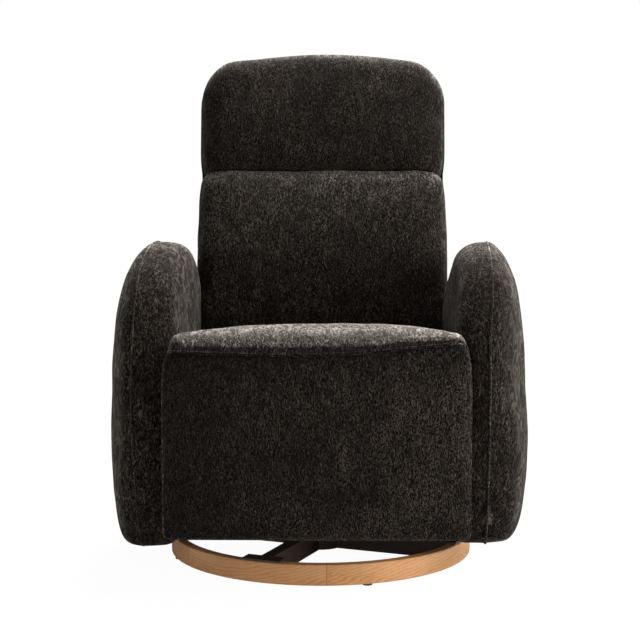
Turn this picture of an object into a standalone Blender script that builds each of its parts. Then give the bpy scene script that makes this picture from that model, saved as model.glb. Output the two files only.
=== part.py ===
"""Nursery glider: an upholstered recliner that swivels and glides on a wooden ring.

Metres, +Z up, the front faces -Y, and the origin is on the floor under the swivel axis.
Left and right are the sitter's, so left is +X.
"""

import math

import bmesh
import bpy
from mathutils import Vector

# Clearances
TOUCH_GAP = 0.0003
LAYER_GAP = 0.001
PIN_CLEARANCE = 0.0004
OPEN_PIVOT_CLEARANCE = 0.0032
POCKET_CLEARANCE = 0.0004
CUT_OVERRUN = 0.004

# Counts of facets
RING_SEGMENTS = 72
RACE_SEGMENTS = 36
PIN_SEGMENTS = 14
CORNER_STEPS = 4
LINK_END_STEPS = 7
CURVE_STEPS = 4

# Wooden ring and its glides
RING_OUTER_RADIUS = 0.299
RING_WALL = 0.020
RING_HEIGHT = 0.0387
RING_EASED_EDGE = 0.0015
GLIDE_COUNT = 4
GLIDE_RADIUS = 0.009
GLIDE_HEIGHT = 0.003
GLIDE_FIRST_ANGLE = math.radians(-72)

# Steel cross inside the ring
CROSS_ARM_COUNT = 4
CROSS_FIRST_ANGLE = math.radians(-111.5)
CROSS_BAR_WIDTH = 0.025
CROSS_FLOOR_CLEARANCE = 0.006
CROSS_PROUD = 0.003
END_PLATE_THICKNESS = 0.0035
END_PLATE_HALF_WIDTH = 0.038
END_PLATE_OVERHANG = 0.016
END_PLATE_INSET = 0.0035
HUB_RADIUS = 0.042

# Swivel bearing
RACE_OUTER_RADIUS = 0.075
RACE_INNER_RADIUS = 0.028
RACE_THICKNESS = 0.004
RACE_GROOVE_RADIUS = 0.052
RACE_GROOVE_HALF_WIDTH = 0.004
RACE_GROOVE_DEPTH = 0.0015
KING_BOLT_RADIUS = 0.008
KING_BOLT_HEAD_RADIUS = 0.014
KING_BOLT_HEAD_HEIGHT = 0.007
KING_BOLT_END_CLEARANCE = 0.003

# Steel that carries the glide
SWIVEL_PLATE_HALF_SIDE = 0.120
SWIVEL_PLATE_THICKNESS = 0.004
SWIVEL_PLATE_CORNER = 0.020
CHANNEL_WIDTH = 0.040
CHANNEL_HEIGHT = 0.025
CHANNEL_WALL = 0.003
CHANNEL_OFFSET = 0.085

# Layers of the linkage, from the seat rail inwards
SEAT_INNER_HALF_WIDTH = 0.250
RAIL_THICKNESS = 0.021
SIDE_PLATE_THICKNESS = 0.004
LINK_THICKNESS = 0.0035

# Pivots in the side view, as (y, z)
GLIDE_FRONT_Y = -0.070
GLIDE_REAR_Y = 0.110
GLIDE_TOP_Z = 0.295
GLIDE_LENGTH = 0.160
PIN_RADIUS = 0.004
FOOT_PIN_RADIUS = 0.003
GLIDE_LINK_HALF_WIDTH = 0.011
FOOT_LINK_HALF_WIDTH = 0.008

STANCHION_FOOT_FRONT_Y = -0.120
STANCHION_FOOT_REAR_Y = 0.150
STANCHION_EAR = 0.014
STANCHION_WINDOW_RADIUS = 0.030

# Footrest linkage at rest
DRIVE_PIVOT = (-0.2274, 0.3290)
CONTROL_PIVOT = (-0.1981, 0.3061)
ELBOW_PIVOT = (-0.1918, 0.1511)
TAIL_PIVOT = (-0.1692, 0.1307)
STEER_PIVOT = (-0.1997, 0.1908)
BRACKET_LOW_PIVOT = (-0.3470, 0.2920)
BRACKET_HIGH_PIVOT = (-0.3470, 0.3320)
TORQUE_TUBE_SHARE = 0.30
TORQUE_TUBE_HALF_SIDE = 0.0075

# Footrest board, brackets and pad
PANEL_FRONT_Y = -0.440
PAD_HALF_WIDTH = 0.2705
PAD_BOTTOM_Z = 0.119
PAD_EDGE_DEPTH = 0.043
PAD_CROWN = 0.012
PAD_SEAM_GAP = 0.0080
PAD_TOP_CORNER_WIDTH = 0.006
PAD_TOP_CORNER_HEIGHT = 0.040
PAD_BOTTOM_CORNER = 0.010
BOARD_THICKNESS = 0.012
BOARD_MARGIN = 0.009
BOARD_CORNER = 0.015
BRACKET_THICKNESS = 0.003
BRACKET_FLANGE = 0.028
BRACKET_MARGIN = 0.011

# Seat deck and cushion
DECK_PITCH = math.radians(6.7)
FRONT_RAIL_FRONT_Y = -0.325
RAIL_FRONT_OVERHANG = 0.005
CROSS_RAIL_THICKNESS = 0.020
FRONT_RAIL_BOTTOM_Z = 0.325
FRONT_RAIL_TOP_Z = 0.3652
REAR_RAIL_FRONT_Y = 0.190
REAR_RAIL_BOTTOM_Z = 0.262
REAR_RAIL_TOP_Z = 0.3085
SIDE_RAIL_FRONT_BOTTOM_Z = 0.300
SIDE_RAIL_REAR_Y = 0.284
SIDE_RAIL_REAR_TOP_Z = 0.300
SPRING_COUNT = 3
SPRING_SPACING = 0.150
SPRING_WIRE_RADIUS = 0.0018
SPRING_HALF_WAVES = 9
SPRING_HALF_WIDTH = 0.024
SPRING_END_INSET = 0.003
SEAM_FRONT_Y = -0.430
SEAM_FRONT_Z = 0.4475
SEAT_REAR_Y = 0.111
SEAT_BODY_HALF_WIDTH = 0.2475
SEAT_WING_HALF_WIDTH = 0.266
SEAT_WING_DEPTH = 0.078
SEAT_CORE_FRONT_Y = -0.355
SEAT_CORE_SIDE_CLEARANCE = 0.0020
SEAT_CORE_CORNER = 0.025
SEAT_CORE_DRAW_IN = 0.006
SEAT_CORNER = 0.030
SEAT_WING_CORNER = 0.016
TOPPER_EDGE_DEPTH = 0.030
TOPPER_CROWN = 0.015

# Arms
ARM_SEAM_X = 0.318
ARM_OUTER_X = 0.396
ARM_FRONT_Y = -0.350
ARM_REAR_Y = 0.300
ARM_BOTTOM_Z = 0.058
ARM_TOP_Z = 0.619
ARM_CENTRE_SHARES = (0.50, 0.52)
ARM_INNER_CROWN = 0.004
ARM_OUTER_CROWN = 0.026
ARM_PANEL_THICKNESS = 0.012
ARM_PANEL_INSET_SHARE = 0.16
# side outline as shares of the arm's depth and height, from the foot at the front upwards
ARM_OUTLINE_SHARES = (
    (0.215, 0.004),
    (0.120, 0.085),
    (0.042, 0.250),
    (0.000, 0.480),
    (0.022, 0.690),
    (0.115, 0.870),
    (0.290, 0.972),
    (0.500, 1.000),
    (0.700, 0.945),
    (0.862, 0.815),
    (0.960, 0.640),
    (1.000, 0.430),
    (0.985, 0.210),
    (0.935, 0.065),
    (0.840, 0.006),
    (0.530, 0.000),
)

# Back, in its own leaning frame: up along the back and forward out of it
BACK_LEAN = math.radians(17)
BACK_FOOT_Y = 0.205
BACK_FOOT_Z = 0.450
LUMBAR_BOTTOM = -0.084
TONGUE_HALF_WIDTH = 0.2170
TONGUE_TOP = -0.050
OUTER_BACK_BOTTOM = -0.048
LUMBAR_TOP = 0.2955
LUMBAR_TOP_HALF_WIDTH = 0.2620
BACK_WIDE_HALF_WIDTH = 0.2645
BACK_NARROW_HALF_WIDTH = 0.2490
BACK_WIDE_FROM = 0.065
BACK_NARROW_TO = 0.030
LUMBAR_CORNER = 0.018
TONGUE_CORNER = 0.010
LUMBAR_EDGE_DEPTH = 0.074
LUMBAR_CROWN = 0.016
HEADREST_SEAM_GAP = 0.0015
HEADREST_TOP = 0.5765
HEADREST_CORNER_WIDTH = 0.088
HEADREST_CORNER_HEIGHT = 0.100
HEADREST_CROWN_RISE = 0.014
HEADREST_EDGE_DEPTH = 0.080
HEADREST_CROWN = 0.024
BACK_FRAME_THICKNESS = 0.022
STILE_WIDTH = 0.040
STILE_BOTTOM = -0.055
FRAME_TOP = 0.515
BACK_RAIL_HEIGHT = 0.040
BOTTOM_RAIL_UP = -0.020
OUTER_BACK_EDGE_DEPTH = 0.047
OUTER_BACK_CROWN = 0.027
HINGE_UP = -0.0724
HINGE_FORWARD = 0.0145
HINGE_EYE_RADIUS = 0.014
HINGE_PLATE_TOP = 0.120
HINGE_PLATE_INSET = 0.002

# Rear skirt under the back
SKIRT_THICKNESS = 0.012
SKIRT_BOTTOM_Z = 0.085
SKIRT_TOP_Z = 0.335
SKIRT_CORNER = 0.010

# Scale of each ring of a crowned form, from its seam to its middle
DOME_RING_SHARES = (0.985, 0.955, 0.905, 0.83, 0.71, 0.54, 0.30)

# Name, colour, roughness and metallic value of each finish
FINISHES = {
    "oiled_ash": ((0.42, 0.22, 0.11), 0.5, 0.0),
    "brown_powder_coat": ((0.035, 0.022, 0.016), 0.45, 0.3),
    "zinc_steel": ((0.45, 0.45, 0.46), 0.35, 1.0),
    "black_steel": ((0.03, 0.03, 0.03), 0.4, 0.7),
    "birch_ply": ((0.50, 0.36, 0.21), 0.6, 0.0),
    "felt": ((0.04, 0.035, 0.03), 0.9, 0.0),
    "charcoal_chenille": ((0.030, 0.026, 0.022), 0.9, 0.0),
}

# Places that follow from the sizes above
RING_INNER_RADIUS = RING_OUTER_RADIUS - RING_WALL
RING_BOTTOM_Z = GLIDE_HEIGHT + TOUCH_GAP
RING_TOP_Z = RING_BOTTOM_Z + RING_HEIGHT
CROSS_TOP_Z = RING_TOP_Z + CROSS_PROUD
LOWER_RACE_Z = CROSS_TOP_Z + TOUCH_GAP
UPPER_RACE_Z = LOWER_RACE_Z + RACE_THICKNESS + TOUCH_GAP
SWIVEL_PLATE_Z = UPPER_RACE_Z + RACE_THICKNESS + TOUCH_GAP
CHANNEL_Z = SWIVEL_PLATE_Z + SWIVEL_PLATE_THICKNESS + TOUCH_GAP
KING_BORE_RADIUS = KING_BOLT_RADIUS + PIN_CLEARANCE

RAIL_OUTER_X = SEAT_INNER_HALF_WIDTH - TOUCH_GAP
RAIL_INNER_X = RAIL_OUTER_X - RAIL_THICKNESS
PLATE_OUTER_X = RAIL_INNER_X - TOUCH_GAP
PLATE_INNER_X = PLATE_OUTER_X - SIDE_PLATE_THICKNESS
OUTER_LAYER = (PLATE_INNER_X - LAYER_GAP - LINK_THICKNESS, PLATE_INNER_X - LAYER_GAP)
MIDDLE_LAYER = (OUTER_LAYER[0] - LAYER_GAP - LINK_THICKNESS, OUTER_LAYER[0] - LAYER_GAP)
INNER_LAYER = (MIDDLE_LAYER[0] - LAYER_GAP - LINK_THICKNESS, MIDDLE_LAYER[0] - LAYER_GAP)
BRACKET_LAYER = (INNER_LAYER[0] - LAYER_GAP - LINK_THICKNESS, INNER_LAYER[0] - LAYER_GAP)
PIN_HOLE_RADIUS = PIN_RADIUS + PIN_CLEARANCE
FOOT_HOLE_RADIUS = FOOT_PIN_RADIUS + PIN_CLEARANCE
OPEN_HOLE_RADIUS = FOOT_PIN_RADIUS + OPEN_PIVOT_CLEARANCE
GLIDE_LOW_Z = GLIDE_TOP_Z - GLIDE_LENGTH

FRONT_RAIL_REAR_Y = FRONT_RAIL_FRONT_Y + CROSS_RAIL_THICKNESS
REAR_RAIL_REAR_Y = REAR_RAIL_FRONT_Y + CROSS_RAIL_THICKNESS
BACK_UP = Vector((0, math.sin(BACK_LEAN), math.cos(BACK_LEAN)))
BACK_FORWARD = Vector((0, -math.cos(BACK_LEAN), math.sin(BACK_LEAN)))
SEAT_REARWARD = Vector((0, math.cos(DECK_PITCH), -math.sin(DECK_PITCH)))
SEAT_UPWARD = Vector((0, math.sin(DECK_PITCH), math.cos(DECK_PITCH)))


def back_point(across, up, forward):
    """Place in the world of a point given in the back's leaning frame."""
    foot = Vector((across, BACK_FOOT_Y, BACK_FOOT_Z))
    return foot + BACK_UP * up + BACK_FORWARD * forward


def seat_point(across, rearward, upward):
    """Place in the world of a point given from the middle of the seat's front seam."""
    seam = Vector((across, SEAM_FRONT_Y, SEAM_FRONT_Z))
    return seam + SEAT_REARWARD * rearward + SEAT_UPWARD * upward


def clear_scene():
    for old in list(bpy.data.objects):
        bpy.data.objects.remove(old, do_unlink=True)


def finish(name):
    """Material of a finish, made once."""
    found = bpy.data.materials.get(name)
    if found:
        return found
    colour, roughness, metallic = FINISHES[name]
    material = bpy.data.materials.new(name)
    material.use_nodes = True
    shader = material.node_tree.nodes["Principled BSDF"]
    shader.inputs["Base Color"].default_value = (*colour, 1)
    shader.inputs["Roughness"].default_value = roughness
    shader.inputs["Metallic"].default_value = metallic
    material.diffuse_color = (*colour, 1)
    return material


def add_solid(name, mesh_data, finish_name, smooth=True):
    """Turn a bmesh into a named object with outward faces."""
    bmesh.ops.recalc_face_normals(mesh_data, faces=mesh_data.faces)
    mesh = bpy.data.meshes.new(name)
    mesh_data.to_mesh(mesh)
    mesh_data.free()
    if smooth:
        mesh.shade_smooth()
        mesh.set_sharp_from_angle(angle=math.radians(35))
    solid = bpy.data.objects.new(name, mesh)
    bpy.context.scene.collection.objects.link(solid)
    mesh.materials.append(finish(finish_name))
    return solid


def combine(solid, tool, operation):
    """Apply one exact Boolean to a solid and drop the tool."""
    step = solid.modifiers.new("combine", "BOOLEAN")
    step.operation = operation
    step.solver = "EXACT"
    step.object = tool
    bpy.context.view_layer.update()
    graph = bpy.context.evaluated_depsgraph_get()
    result = bpy.data.meshes.new_from_object(solid.evaluated_get(graph))
    solid.modifiers.clear()
    result.name = solid.name
    solid.data = result
    bpy.data.objects.remove(tool, do_unlink=True)


def circle(centre, radius, segments, start=0.0):
    """Points of a circle in a plane."""
    points = []
    for step in range(segments):
        turn = start + 2 * math.pi * step / segments
        points.append((centre[0] + radius * math.cos(turn), centre[1] + radius * math.sin(turn)))
    return points


def fillet_polygon(corners, steps=CORNER_STEPS):
    """Outline through corners (a, b, width, height), each rounded by an elliptic arc."""
    outline = []
    count = len(corners)
    for index, (a, b, *reach) in enumerate(corners):
        radius_in = reach[0] if reach else 0
        radius_out = reach[1] if len(reach) > 1 else radius_in
        here = Vector((a, b))
        if radius_in == 0:
            outline.append((a, b))
            continue
        before = Vector(corners[index - 1][:2])
        after = Vector(corners[(index + 1) % count][:2])
        start = here + (before - here).normalized() * radius_in
        end = here + (after - here).normalized() * radius_out
        for step in range(steps + 1):
            turn = math.pi / 2 * step / steps
            point = here + (start - here) * (1 - math.sin(turn)) + (end - here) * (1 - math.cos(turn))
            outline.append((point.x, point.y))
    return outline


def smooth_loop(keys, steps=CURVE_STEPS):
    """Closed smooth curve through the key points."""
    outline = []
    count = len(keys)
    for index in range(count):
        p0, p1, p2, p3 = (Vector(keys[(index + shift) % count]) for shift in (-1, 0, 1, 2))
        for step in range(steps):
            t = step / steps
            point = 0.5 * (
                2 * p1
                + (p2 - p0) * t
                + (2 * p0 - 5 * p1 + 4 * p2 - p3) * t**2
                + (3 * p1 - p0 - 3 * p2 + p3) * t**3
            )
            outline.append((point.x, point.y))
    return outline


def capsule(first, last, radius, steps=LINK_END_STEPS):
    """Outline of a bar with round ends about two pivots."""
    first = Vector(first)
    last = Vector(last)
    along = math.atan2(last.y - first.y, last.x - first.x)
    outline = []
    for centre, start in ((last, along - math.pi / 2), (first, along + math.pi / 2)):
        for step in range(steps + 1):
            turn = start + math.pi * step / steps
            outline.append((centre.x + radius * math.cos(turn), centre.y + radius * math.sin(turn)))
    return outline


def extrude_outline(mesh_data, outline, holes, place, low, high):
    """Add a prism between two levels to a bmesh: an outline less its holes."""
    edges = []
    for loop in (outline, *holes):
        corners = [mesh_data.verts.new(place(a, b, low)) for a, b in loop]
        for index, corner in enumerate(corners):
            edges.append(mesh_data.edges.new((corner, corners[(index + 1) % len(corners)])))
    filled = bmesh.ops.triangle_fill(mesh_data, use_beauty=True, edges=edges)
    faces = [item for item in filled["geom"] if isinstance(item, bmesh.types.BMFace)]
    raised = bmesh.ops.extrude_face_region(mesh_data, geom=faces)
    tops = [item for item in raised["geom"] if isinstance(item, bmesh.types.BMVert)]
    rise = place(0, 0, high) - place(0, 0, low)
    bmesh.ops.translate(mesh_data, vec=rise, verts=tops)


def prism(name, outline, place, low, high, finish_name, holes=()):
    """Solid of an outline between two levels."""
    mesh_data = bmesh.new()
    extrude_outline(mesh_data, outline, holes, place, low, high)
    return add_solid(name, mesh_data, finish_name)


def flat(a, b, level):
    """Place of an outline drawn in plan."""
    return Vector((a, b, level))


def upright(a, b, level):
    """Place of an outline drawn in the front view, at a level along Y."""
    return Vector((a, level, b))


def side_view(side):
    """Place of an outline drawn as (y, z), at a distance to one side."""
    return lambda a, b, level: Vector((side * level, a, b))


def turned(name, profile, segments, finish_name, closed):
    """Solid of a profile of (radius, z) turned about Z."""
    mesh_data = bmesh.new()
    rings = []
    for radius, level in profile:
        if radius == 0:
            rings.append([mesh_data.verts.new((0, 0, level))] * segments)
            continue
        rings.append([mesh_data.verts.new((a, b, level)) for a, b in circle((0, 0), radius, segments)])
    last = len(rings) if closed else len(rings) - 1
    for index in range(last):
        lower = rings[index]
        upper = rings[(index + 1) % len(rings)]
        for step in range(segments):
            after = (step + 1) % segments
            corners = [lower[step], lower[after], upper[after], upper[step]]
            mesh_data.faces.new(list(dict.fromkeys(corners)))
    return add_solid(name, mesh_data, finish_name)


def dome_height(scale, edge_depth, crown, edge_power, face_power):
    """Height of a crowned form at a scale of its outline: a rounded edge and a gentle crown."""
    rounded = max(0.0, 1 - scale**edge_power) ** (1 / face_power)
    return edge_depth * rounded + crown * (1 - scale**2)


def pillow(name, outline, centre, place, front, back, finish_name):
    """Crowned closed form: front and back are None for a flat side, or height functions.

    A height function takes the scale of the ring and the direction from the centre.
    """
    mesh_data = bmesh.new()
    seam = [mesh_data.verts.new(place(a, b, 0)) for a, b in outline]
    count = len(outline)
    for height in (front, back):
        if height is None:
            middle = mesh_data.verts.new(place(*centre, 0))
            ring = seam
        else:
            ring = seam
            for scale in DOME_RING_SHARES:
                inner = []
                for a, b in outline:
                    da = a - centre[0]
                    db = b - centre[1]
                    rise = height(scale, math.atan2(db, da))
                    inner.append(mesh_data.verts.new(place(centre[0] + da * scale, centre[1] + db * scale, rise)))
                for step in range(count):
                    after = (step + 1) % count
                    mesh_data.faces.new((ring[step], ring[after], inner[after], inner[step]))
                ring = inner
            middle = mesh_data.verts.new(place(*centre, height(0.0, 0.0)))
        for step in range(count):
            mesh_data.faces.new((ring[step], ring[(step + 1) % count], middle))
    return add_solid(name, mesh_data, finish_name)


def plain_dome(edge_depth, crown, edge_power, face_power=2.2):
    """Height function with the same edge all round."""
    return lambda scale, direction: dome_height(scale, edge_depth, crown, edge_power, face_power)


# Base


def make_wood_ring():
    edge = RING_EASED_EDGE
    profile = [
        (RING_OUTER_RADIUS, RING_BOTTOM_Z + edge),
        (RING_OUTER_RADIUS, RING_TOP_Z - edge),
        (RING_OUTER_RADIUS - edge, RING_TOP_Z),
        (RING_INNER_RADIUS + edge, RING_TOP_Z),
        (RING_INNER_RADIUS, RING_TOP_Z - edge),
        (RING_INNER_RADIUS, RING_BOTTOM_Z + edge),
        (RING_INNER_RADIUS + edge, RING_BOTTOM_Z),
        (RING_OUTER_RADIUS - edge, RING_BOTTOM_Z),
    ]
    turned("wood_ring", profile, RING_SEGMENTS, "oiled_ash", closed=True)


def make_glides():
    middle = (RING_OUTER_RADIUS + RING_INNER_RADIUS) / 2
    for index in range(GLIDE_COUNT):
        turn = GLIDE_FIRST_ANGLE + 2 * math.pi * index / GLIDE_COUNT
        centre = (middle * math.cos(turn), middle * math.sin(turn))
        outline = circle(centre, GLIDE_RADIUS, PIN_SEGMENTS)
        prism(f"floor_glide_{index + 1}", outline, flat, 0, GLIDE_HEIGHT, "felt")


def make_base_cross():
    """Four bars welded to a hub, with a plate at each end that lies on the ring."""
    half = CROSS_BAR_WIDTH / 2
    ring_apothem = RING_INNER_RADIUS * math.cos(math.pi / RING_SEGMENTS) - TOUCH_GAP
    bar_end = math.sqrt(ring_apothem**2 - half**2)
    flank = math.asin(half / HUB_RADIUS)
    quarter = 2 * math.pi / CROSS_ARM_COUNT
    outline = []
    for index in range(CROSS_ARM_COUNT):
        turn = CROSS_FIRST_ANGLE + quarter * index
        along = Vector((math.cos(turn), math.sin(turn)))
        across = Vector((-along.y, along.x))
        for corner in (along * bar_end - across * half, along * bar_end + across * half):
            outline.append((corner.x, corner.y))
        for step in range(CORNER_STEPS + 1):
            arc = turn + flank + (quarter - 2 * flank) * step / CORNER_STEPS
            outline.append((HUB_RADIUS * math.cos(arc), HUB_RADIUS * math.sin(arc)))
    bore = circle((0, 0), KING_BORE_RADIUS, PIN_SEGMENTS)
    cross = prism("base_cross", outline, flat, CROSS_FLOOR_CLEARANCE, CROSS_TOP_Z, "brown_powder_coat", [bore])
    plates = bmesh.new()
    low = RING_TOP_Z + TOUCH_GAP
    for index in range(CROSS_ARM_COUNT):
        turn = CROSS_FIRST_ANGLE + quarter * index
        along = Vector((math.cos(turn), math.sin(turn)))
        across = Vector((-along.y, along.x)) * END_PLATE_HALF_WIDTH
        inner = along * (RING_INNER_RADIUS - END_PLATE_OVERHANG)
        outer = along * (RING_OUTER_RADIUS - END_PLATE_INSET)
        corners = (inner - across, outer - across, outer + across, inner + across)
        extrude_outline(plates, [tuple(corner) for corner in corners], (), flat, low, low + END_PLATE_THICKNESS)
    combine(cross, add_solid("end_plates", plates, "brown_powder_coat"), "UNION")


def make_race(name, low, groove_up):
    """Bearing race: a turned washer with a ball groove in one face."""
    high = low + RACE_THICKNESS
    face = high if groove_up else low
    floor = face - RACE_GROOVE_DEPTH if groove_up else face + RACE_GROOVE_DEPTH
    groove = [
        (RACE_GROOVE_RADIUS + RACE_GROOVE_HALF_WIDTH, face),
        (RACE_GROOVE_RADIUS, floor),
        (RACE_GROOVE_RADIUS - RACE_GROOVE_HALF_WIDTH, face),
    ]
    back = low if groove_up else high
    profile = [(RACE_OUTER_RADIUS, back), (RACE_OUTER_RADIUS, face), *groove]
    profile += [(RACE_INNER_RADIUS, face), (RACE_INNER_RADIUS, back)]
    turned(name, profile, RACE_SEGMENTS, "zinc_steel", closed=True)


def make_king_bolt():
    head = CHANNEL_Z
    end = CROSS_FLOOR_CLEARANCE + KING_BOLT_END_CLEARANCE
    profile = [
        (0, end),
        (KING_BOLT_RADIUS, end),
        (KING_BOLT_RADIUS, head),
        (KING_BOLT_HEAD_RADIUS, head),
        (KING_BOLT_HEAD_RADIUS, head + KING_BOLT_HEAD_HEIGHT),
        (0, head + KING_BOLT_HEAD_HEIGHT),
    ]
    turned("king_bolt", profile, PIN_SEGMENTS, "zinc_steel", closed=False)


# Swivel frame


def make_swivel_plate():
    side = SWIVEL_PLATE_HALF_SIDE
    corners = [(a * side, b * side, SWIVEL_PLATE_CORNER) for a, b in ((1, 1), (-1, 1), (-1, -1), (1, -1))]
    bore = circle((0, 0), KING_BORE_RADIUS, PIN_SEGMENTS)
    high = SWIVEL_PLATE_Z + SWIVEL_PLATE_THICKNESS
    prism("swivel_plate", fillet_polygon(corners), flat, SWIVEL_PLATE_Z, high, "black_steel", [bore])


def make_cross_channel(name, middle):
    """Inverted channel from stanchion to stanchion."""
    half = CHANNEL_WIDTH / 2
    wall = CHANNEL_WALL
    top = CHANNEL_Z + CHANNEL_HEIGHT
    outline = [
        (middle - half, CHANNEL_Z),
        (middle - half + wall, CHANNEL_Z),
        (middle - half + wall, top - wall),
        (middle + half - wall, top - wall),
        (middle + half - wall, CHANNEL_Z),
        (middle + half, CHANNEL_Z),
        (middle + half, top),
        (middle - half, top),
    ]
    reach = MIDDLE_LAYER[0] - TOUCH_GAP
    prism(name, outline, side_view(1), -reach, reach, "black_steel")


def make_stanchion(name, side):
    """Upright plate with the two top pivots of the glide."""
    ear = STANCHION_EAR
    corners = [
        (STANCHION_FOOT_FRONT_Y, CHANNEL_Z, ear / 2),
        (STANCHION_FOOT_REAR_Y, CHANNEL_Z, ear / 2),
        (GLIDE_REAR_Y + ear, GLIDE_TOP_Z + ear, ear),
        (GLIDE_FRONT_Y - ear, GLIDE_TOP_Z + ear, ear),
    ]
    middle = ((GLIDE_FRONT_Y + GLIDE_REAR_Y) / 2, (CHANNEL_Z + GLIDE_TOP_Z) / 2)
    holes = [
        circle((GLIDE_FRONT_Y, GLIDE_TOP_Z), PIN_HOLE_RADIUS, PIN_SEGMENTS),
        circle((GLIDE_REAR_Y, GLIDE_TOP_Z), PIN_HOLE_RADIUS, PIN_SEGMENTS),
        circle(middle, STANCHION_WINDOW_RADIUS, RACE_SEGMENTS // 2),
    ]
    prism(name, fillet_polygon(corners), side_view(side), *MIDDLE_LAYER, "black_steel", holes)


def make_bar(name, side, layer, pivots, half_width, pin_radius, holes, pins):
    """Flat link between its end pivots, with drilled holes and riveted pins.

    holes are (pivot, radius); pins are (pivot, low, high), a stretch to the side of the chair
    that starts inside the bar.
    """
    place = side_view(side)
    drilled = [circle(pivot, radius, PIN_SEGMENTS) for pivot, radius in holes]
    bar = prism(name, capsule(*pivots, half_width), place, *layer, "zinc_steel", drilled)
    studs = bmesh.new()
    for pivot, low, high in pins:
        extrude_outline(studs, circle(pivot, pin_radius, PIN_SEGMENTS), (), place, low, high)
    if pins:
        combine(bar, add_solid(f"{name}_pins", studs, "zinc_steel"), "UNION")
    else:
        studs.free()


def layer_middle(layer):
    return (layer[0] + layer[1]) / 2


def make_glide_link(name, side, along_y):
    """Hanging link: its top pin turns in the stanchion, its low pin in the seat's side plate."""
    top = (along_y, GLIDE_TOP_Z)
    low = (along_y, GLIDE_LOW_Z)
    middle = layer_middle(OUTER_LAYER)
    pins = [
        (top, MIDDLE_LAYER[0] - LAYER_GAP, middle),
        (low, middle, PLATE_OUTER_X),
    ]
    make_bar(name, side, OUTER_LAYER, (top, low), GLIDE_LINK_HALF_WIDTH, PIN_RADIUS, [], pins)


# Seat frame


def hinge_axis():
    """Recline axis as (y, z)."""
    point = back_point(0, HINGE_UP, HINGE_FORWARD)
    return (point.y, point.z)


def make_side_plate(name, side):
    """Steel plate with the low glide pivots, the footrest pivots and the recline pivot."""
    lobe = GLIDE_LINK_HALF_WIDTH + PIN_RADIUS
    hinge = hinge_axis()
    eye = HINGE_EYE_RADIUS
    front = FRONT_RAIL_REAR_Y + LAYER_GAP
    top = DRIVE_PIVOT[1] + lobe
    corners = [
        (GLIDE_FRONT_Y - lobe, GLIDE_LOW_Z - lobe, lobe),
        (GLIDE_REAR_Y + lobe, GLIDE_LOW_Z - lobe, lobe),
        (hinge[0] + eye, (GLIDE_LOW_Z + hinge[1]) / 2, lobe),
        (hinge[0] + eye, hinge[1] + eye, eye),
        (hinge[0] - eye, hinge[1] + eye, eye),
        (hinge[0] - eye - lobe, top - lobe, lobe),
        (front, top, lobe),
        (front, DRIVE_PIVOT[1] - 2 * lobe, lobe),
        (GLIDE_FRONT_Y - 4 * lobe, GLIDE_LOW_Z + 4 * lobe, lobe),
    ]
    glide_pivots = [(GLIDE_FRONT_Y, GLIDE_LOW_Z), (GLIDE_REAR_Y, GLIDE_LOW_Z), hinge]
    holes = [circle(pivot, PIN_HOLE_RADIUS, PIN_SEGMENTS) for pivot in glide_pivots]
    foot_pivots = [DRIVE_PIVOT, CONTROL_PIVOT]
    holes += [circle(pivot, FOOT_HOLE_RADIUS, PIN_SEGMENTS) for pivot in foot_pivots]
    prism(name, fillet_polygon(corners), side_view(side), PLATE_INNER_X, PLATE_OUTER_X, "black_steel", holes)


def make_side_rail(name, side):
    """Wooden seat rail whose top follows the pitch of the deck."""
    front = FRONT_RAIL_FRONT_Y - RAIL_FRONT_OVERHANG
    outline = [
        (front, SIDE_RAIL_FRONT_BOTTOM_Z),
        (REAR_RAIL_FRONT_Y, REAR_RAIL_BOTTOM_Z),
        (SIDE_RAIL_REAR_Y, REAR_RAIL_BOTTOM_Z),
        (SIDE_RAIL_REAR_Y, SIDE_RAIL_REAR_TOP_Z),
        (REAR_RAIL_REAR_Y, REAR_RAIL_TOP_Z),
        (FRONT_RAIL_REAR_Y, FRONT_RAIL_TOP_Z),
        (front, FRONT_RAIL_TOP_Z),
    ]
    prism(name, outline, side_view(side), RAIL_INNER_X, RAIL_OUTER_X, "birch_ply")


def make_cross_rail(name, front, low, high):
    reach = PLATE_OUTER_X
    rear = front + CROSS_RAIL_THICKNESS
    outline = [(front, low), (rear, low), (rear, high), (front, high)]
    prism(name, outline, side_view(1), -reach, reach, "birch_ply")


def wire_line():
    """Ends of the sloping stretch of the spring wire's middle, as (y, z)."""
    rise = TOUCH_GAP + SPRING_WIRE_RADIUS
    clear = SPRING_WIRE_RADIUS
    first = (FRONT_RAIL_REAR_Y + clear, FRONT_RAIL_TOP_Z + rise)
    last = (REAR_RAIL_FRONT_Y - clear, REAR_RAIL_TOP_Z + rise)
    return first, last


def make_seat_spring(name, across):
    """Sinuous spring from the front rail to the rear rail."""
    first, last = wire_line()
    points = [(across, FRONT_RAIL_FRONT_Y + SPRING_END_INSET, first[1]), (across, *first)]
    steps = SPRING_HALF_WAVES * 2
    for step in range(1, steps):
        share = step / steps
        swing = math.sin(math.pi * share * SPRING_HALF_WAVES)
        along = first[0] + (last[0] - first[0]) * share
        level = first[1] + (last[1] - first[1]) * share
        points.append((across + SPRING_HALF_WIDTH * swing, along, level))
    points += [(across, *last), (across, REAR_RAIL_REAR_Y - SPRING_END_INSET, last[1])]
    curve = bpy.data.curves.new(name, "CURVE")
    curve.dimensions = "3D"
    curve.bevel_depth = SPRING_WIRE_RADIUS
    curve.bevel_resolution = 1
    curve.use_fill_caps = True
    spline = curve.splines.new("POLY")
    spline.points.add(len(points) - 1)
    for target, point in zip(spline.points, points):
        target.co = (*point, 1)
    curve.materials.append(finish("zinc_steel"))
    spring = bpy.data.objects.new(name, curve)
    bpy.context.scene.collection.objects.link(spring)


# Seat cushion


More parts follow.
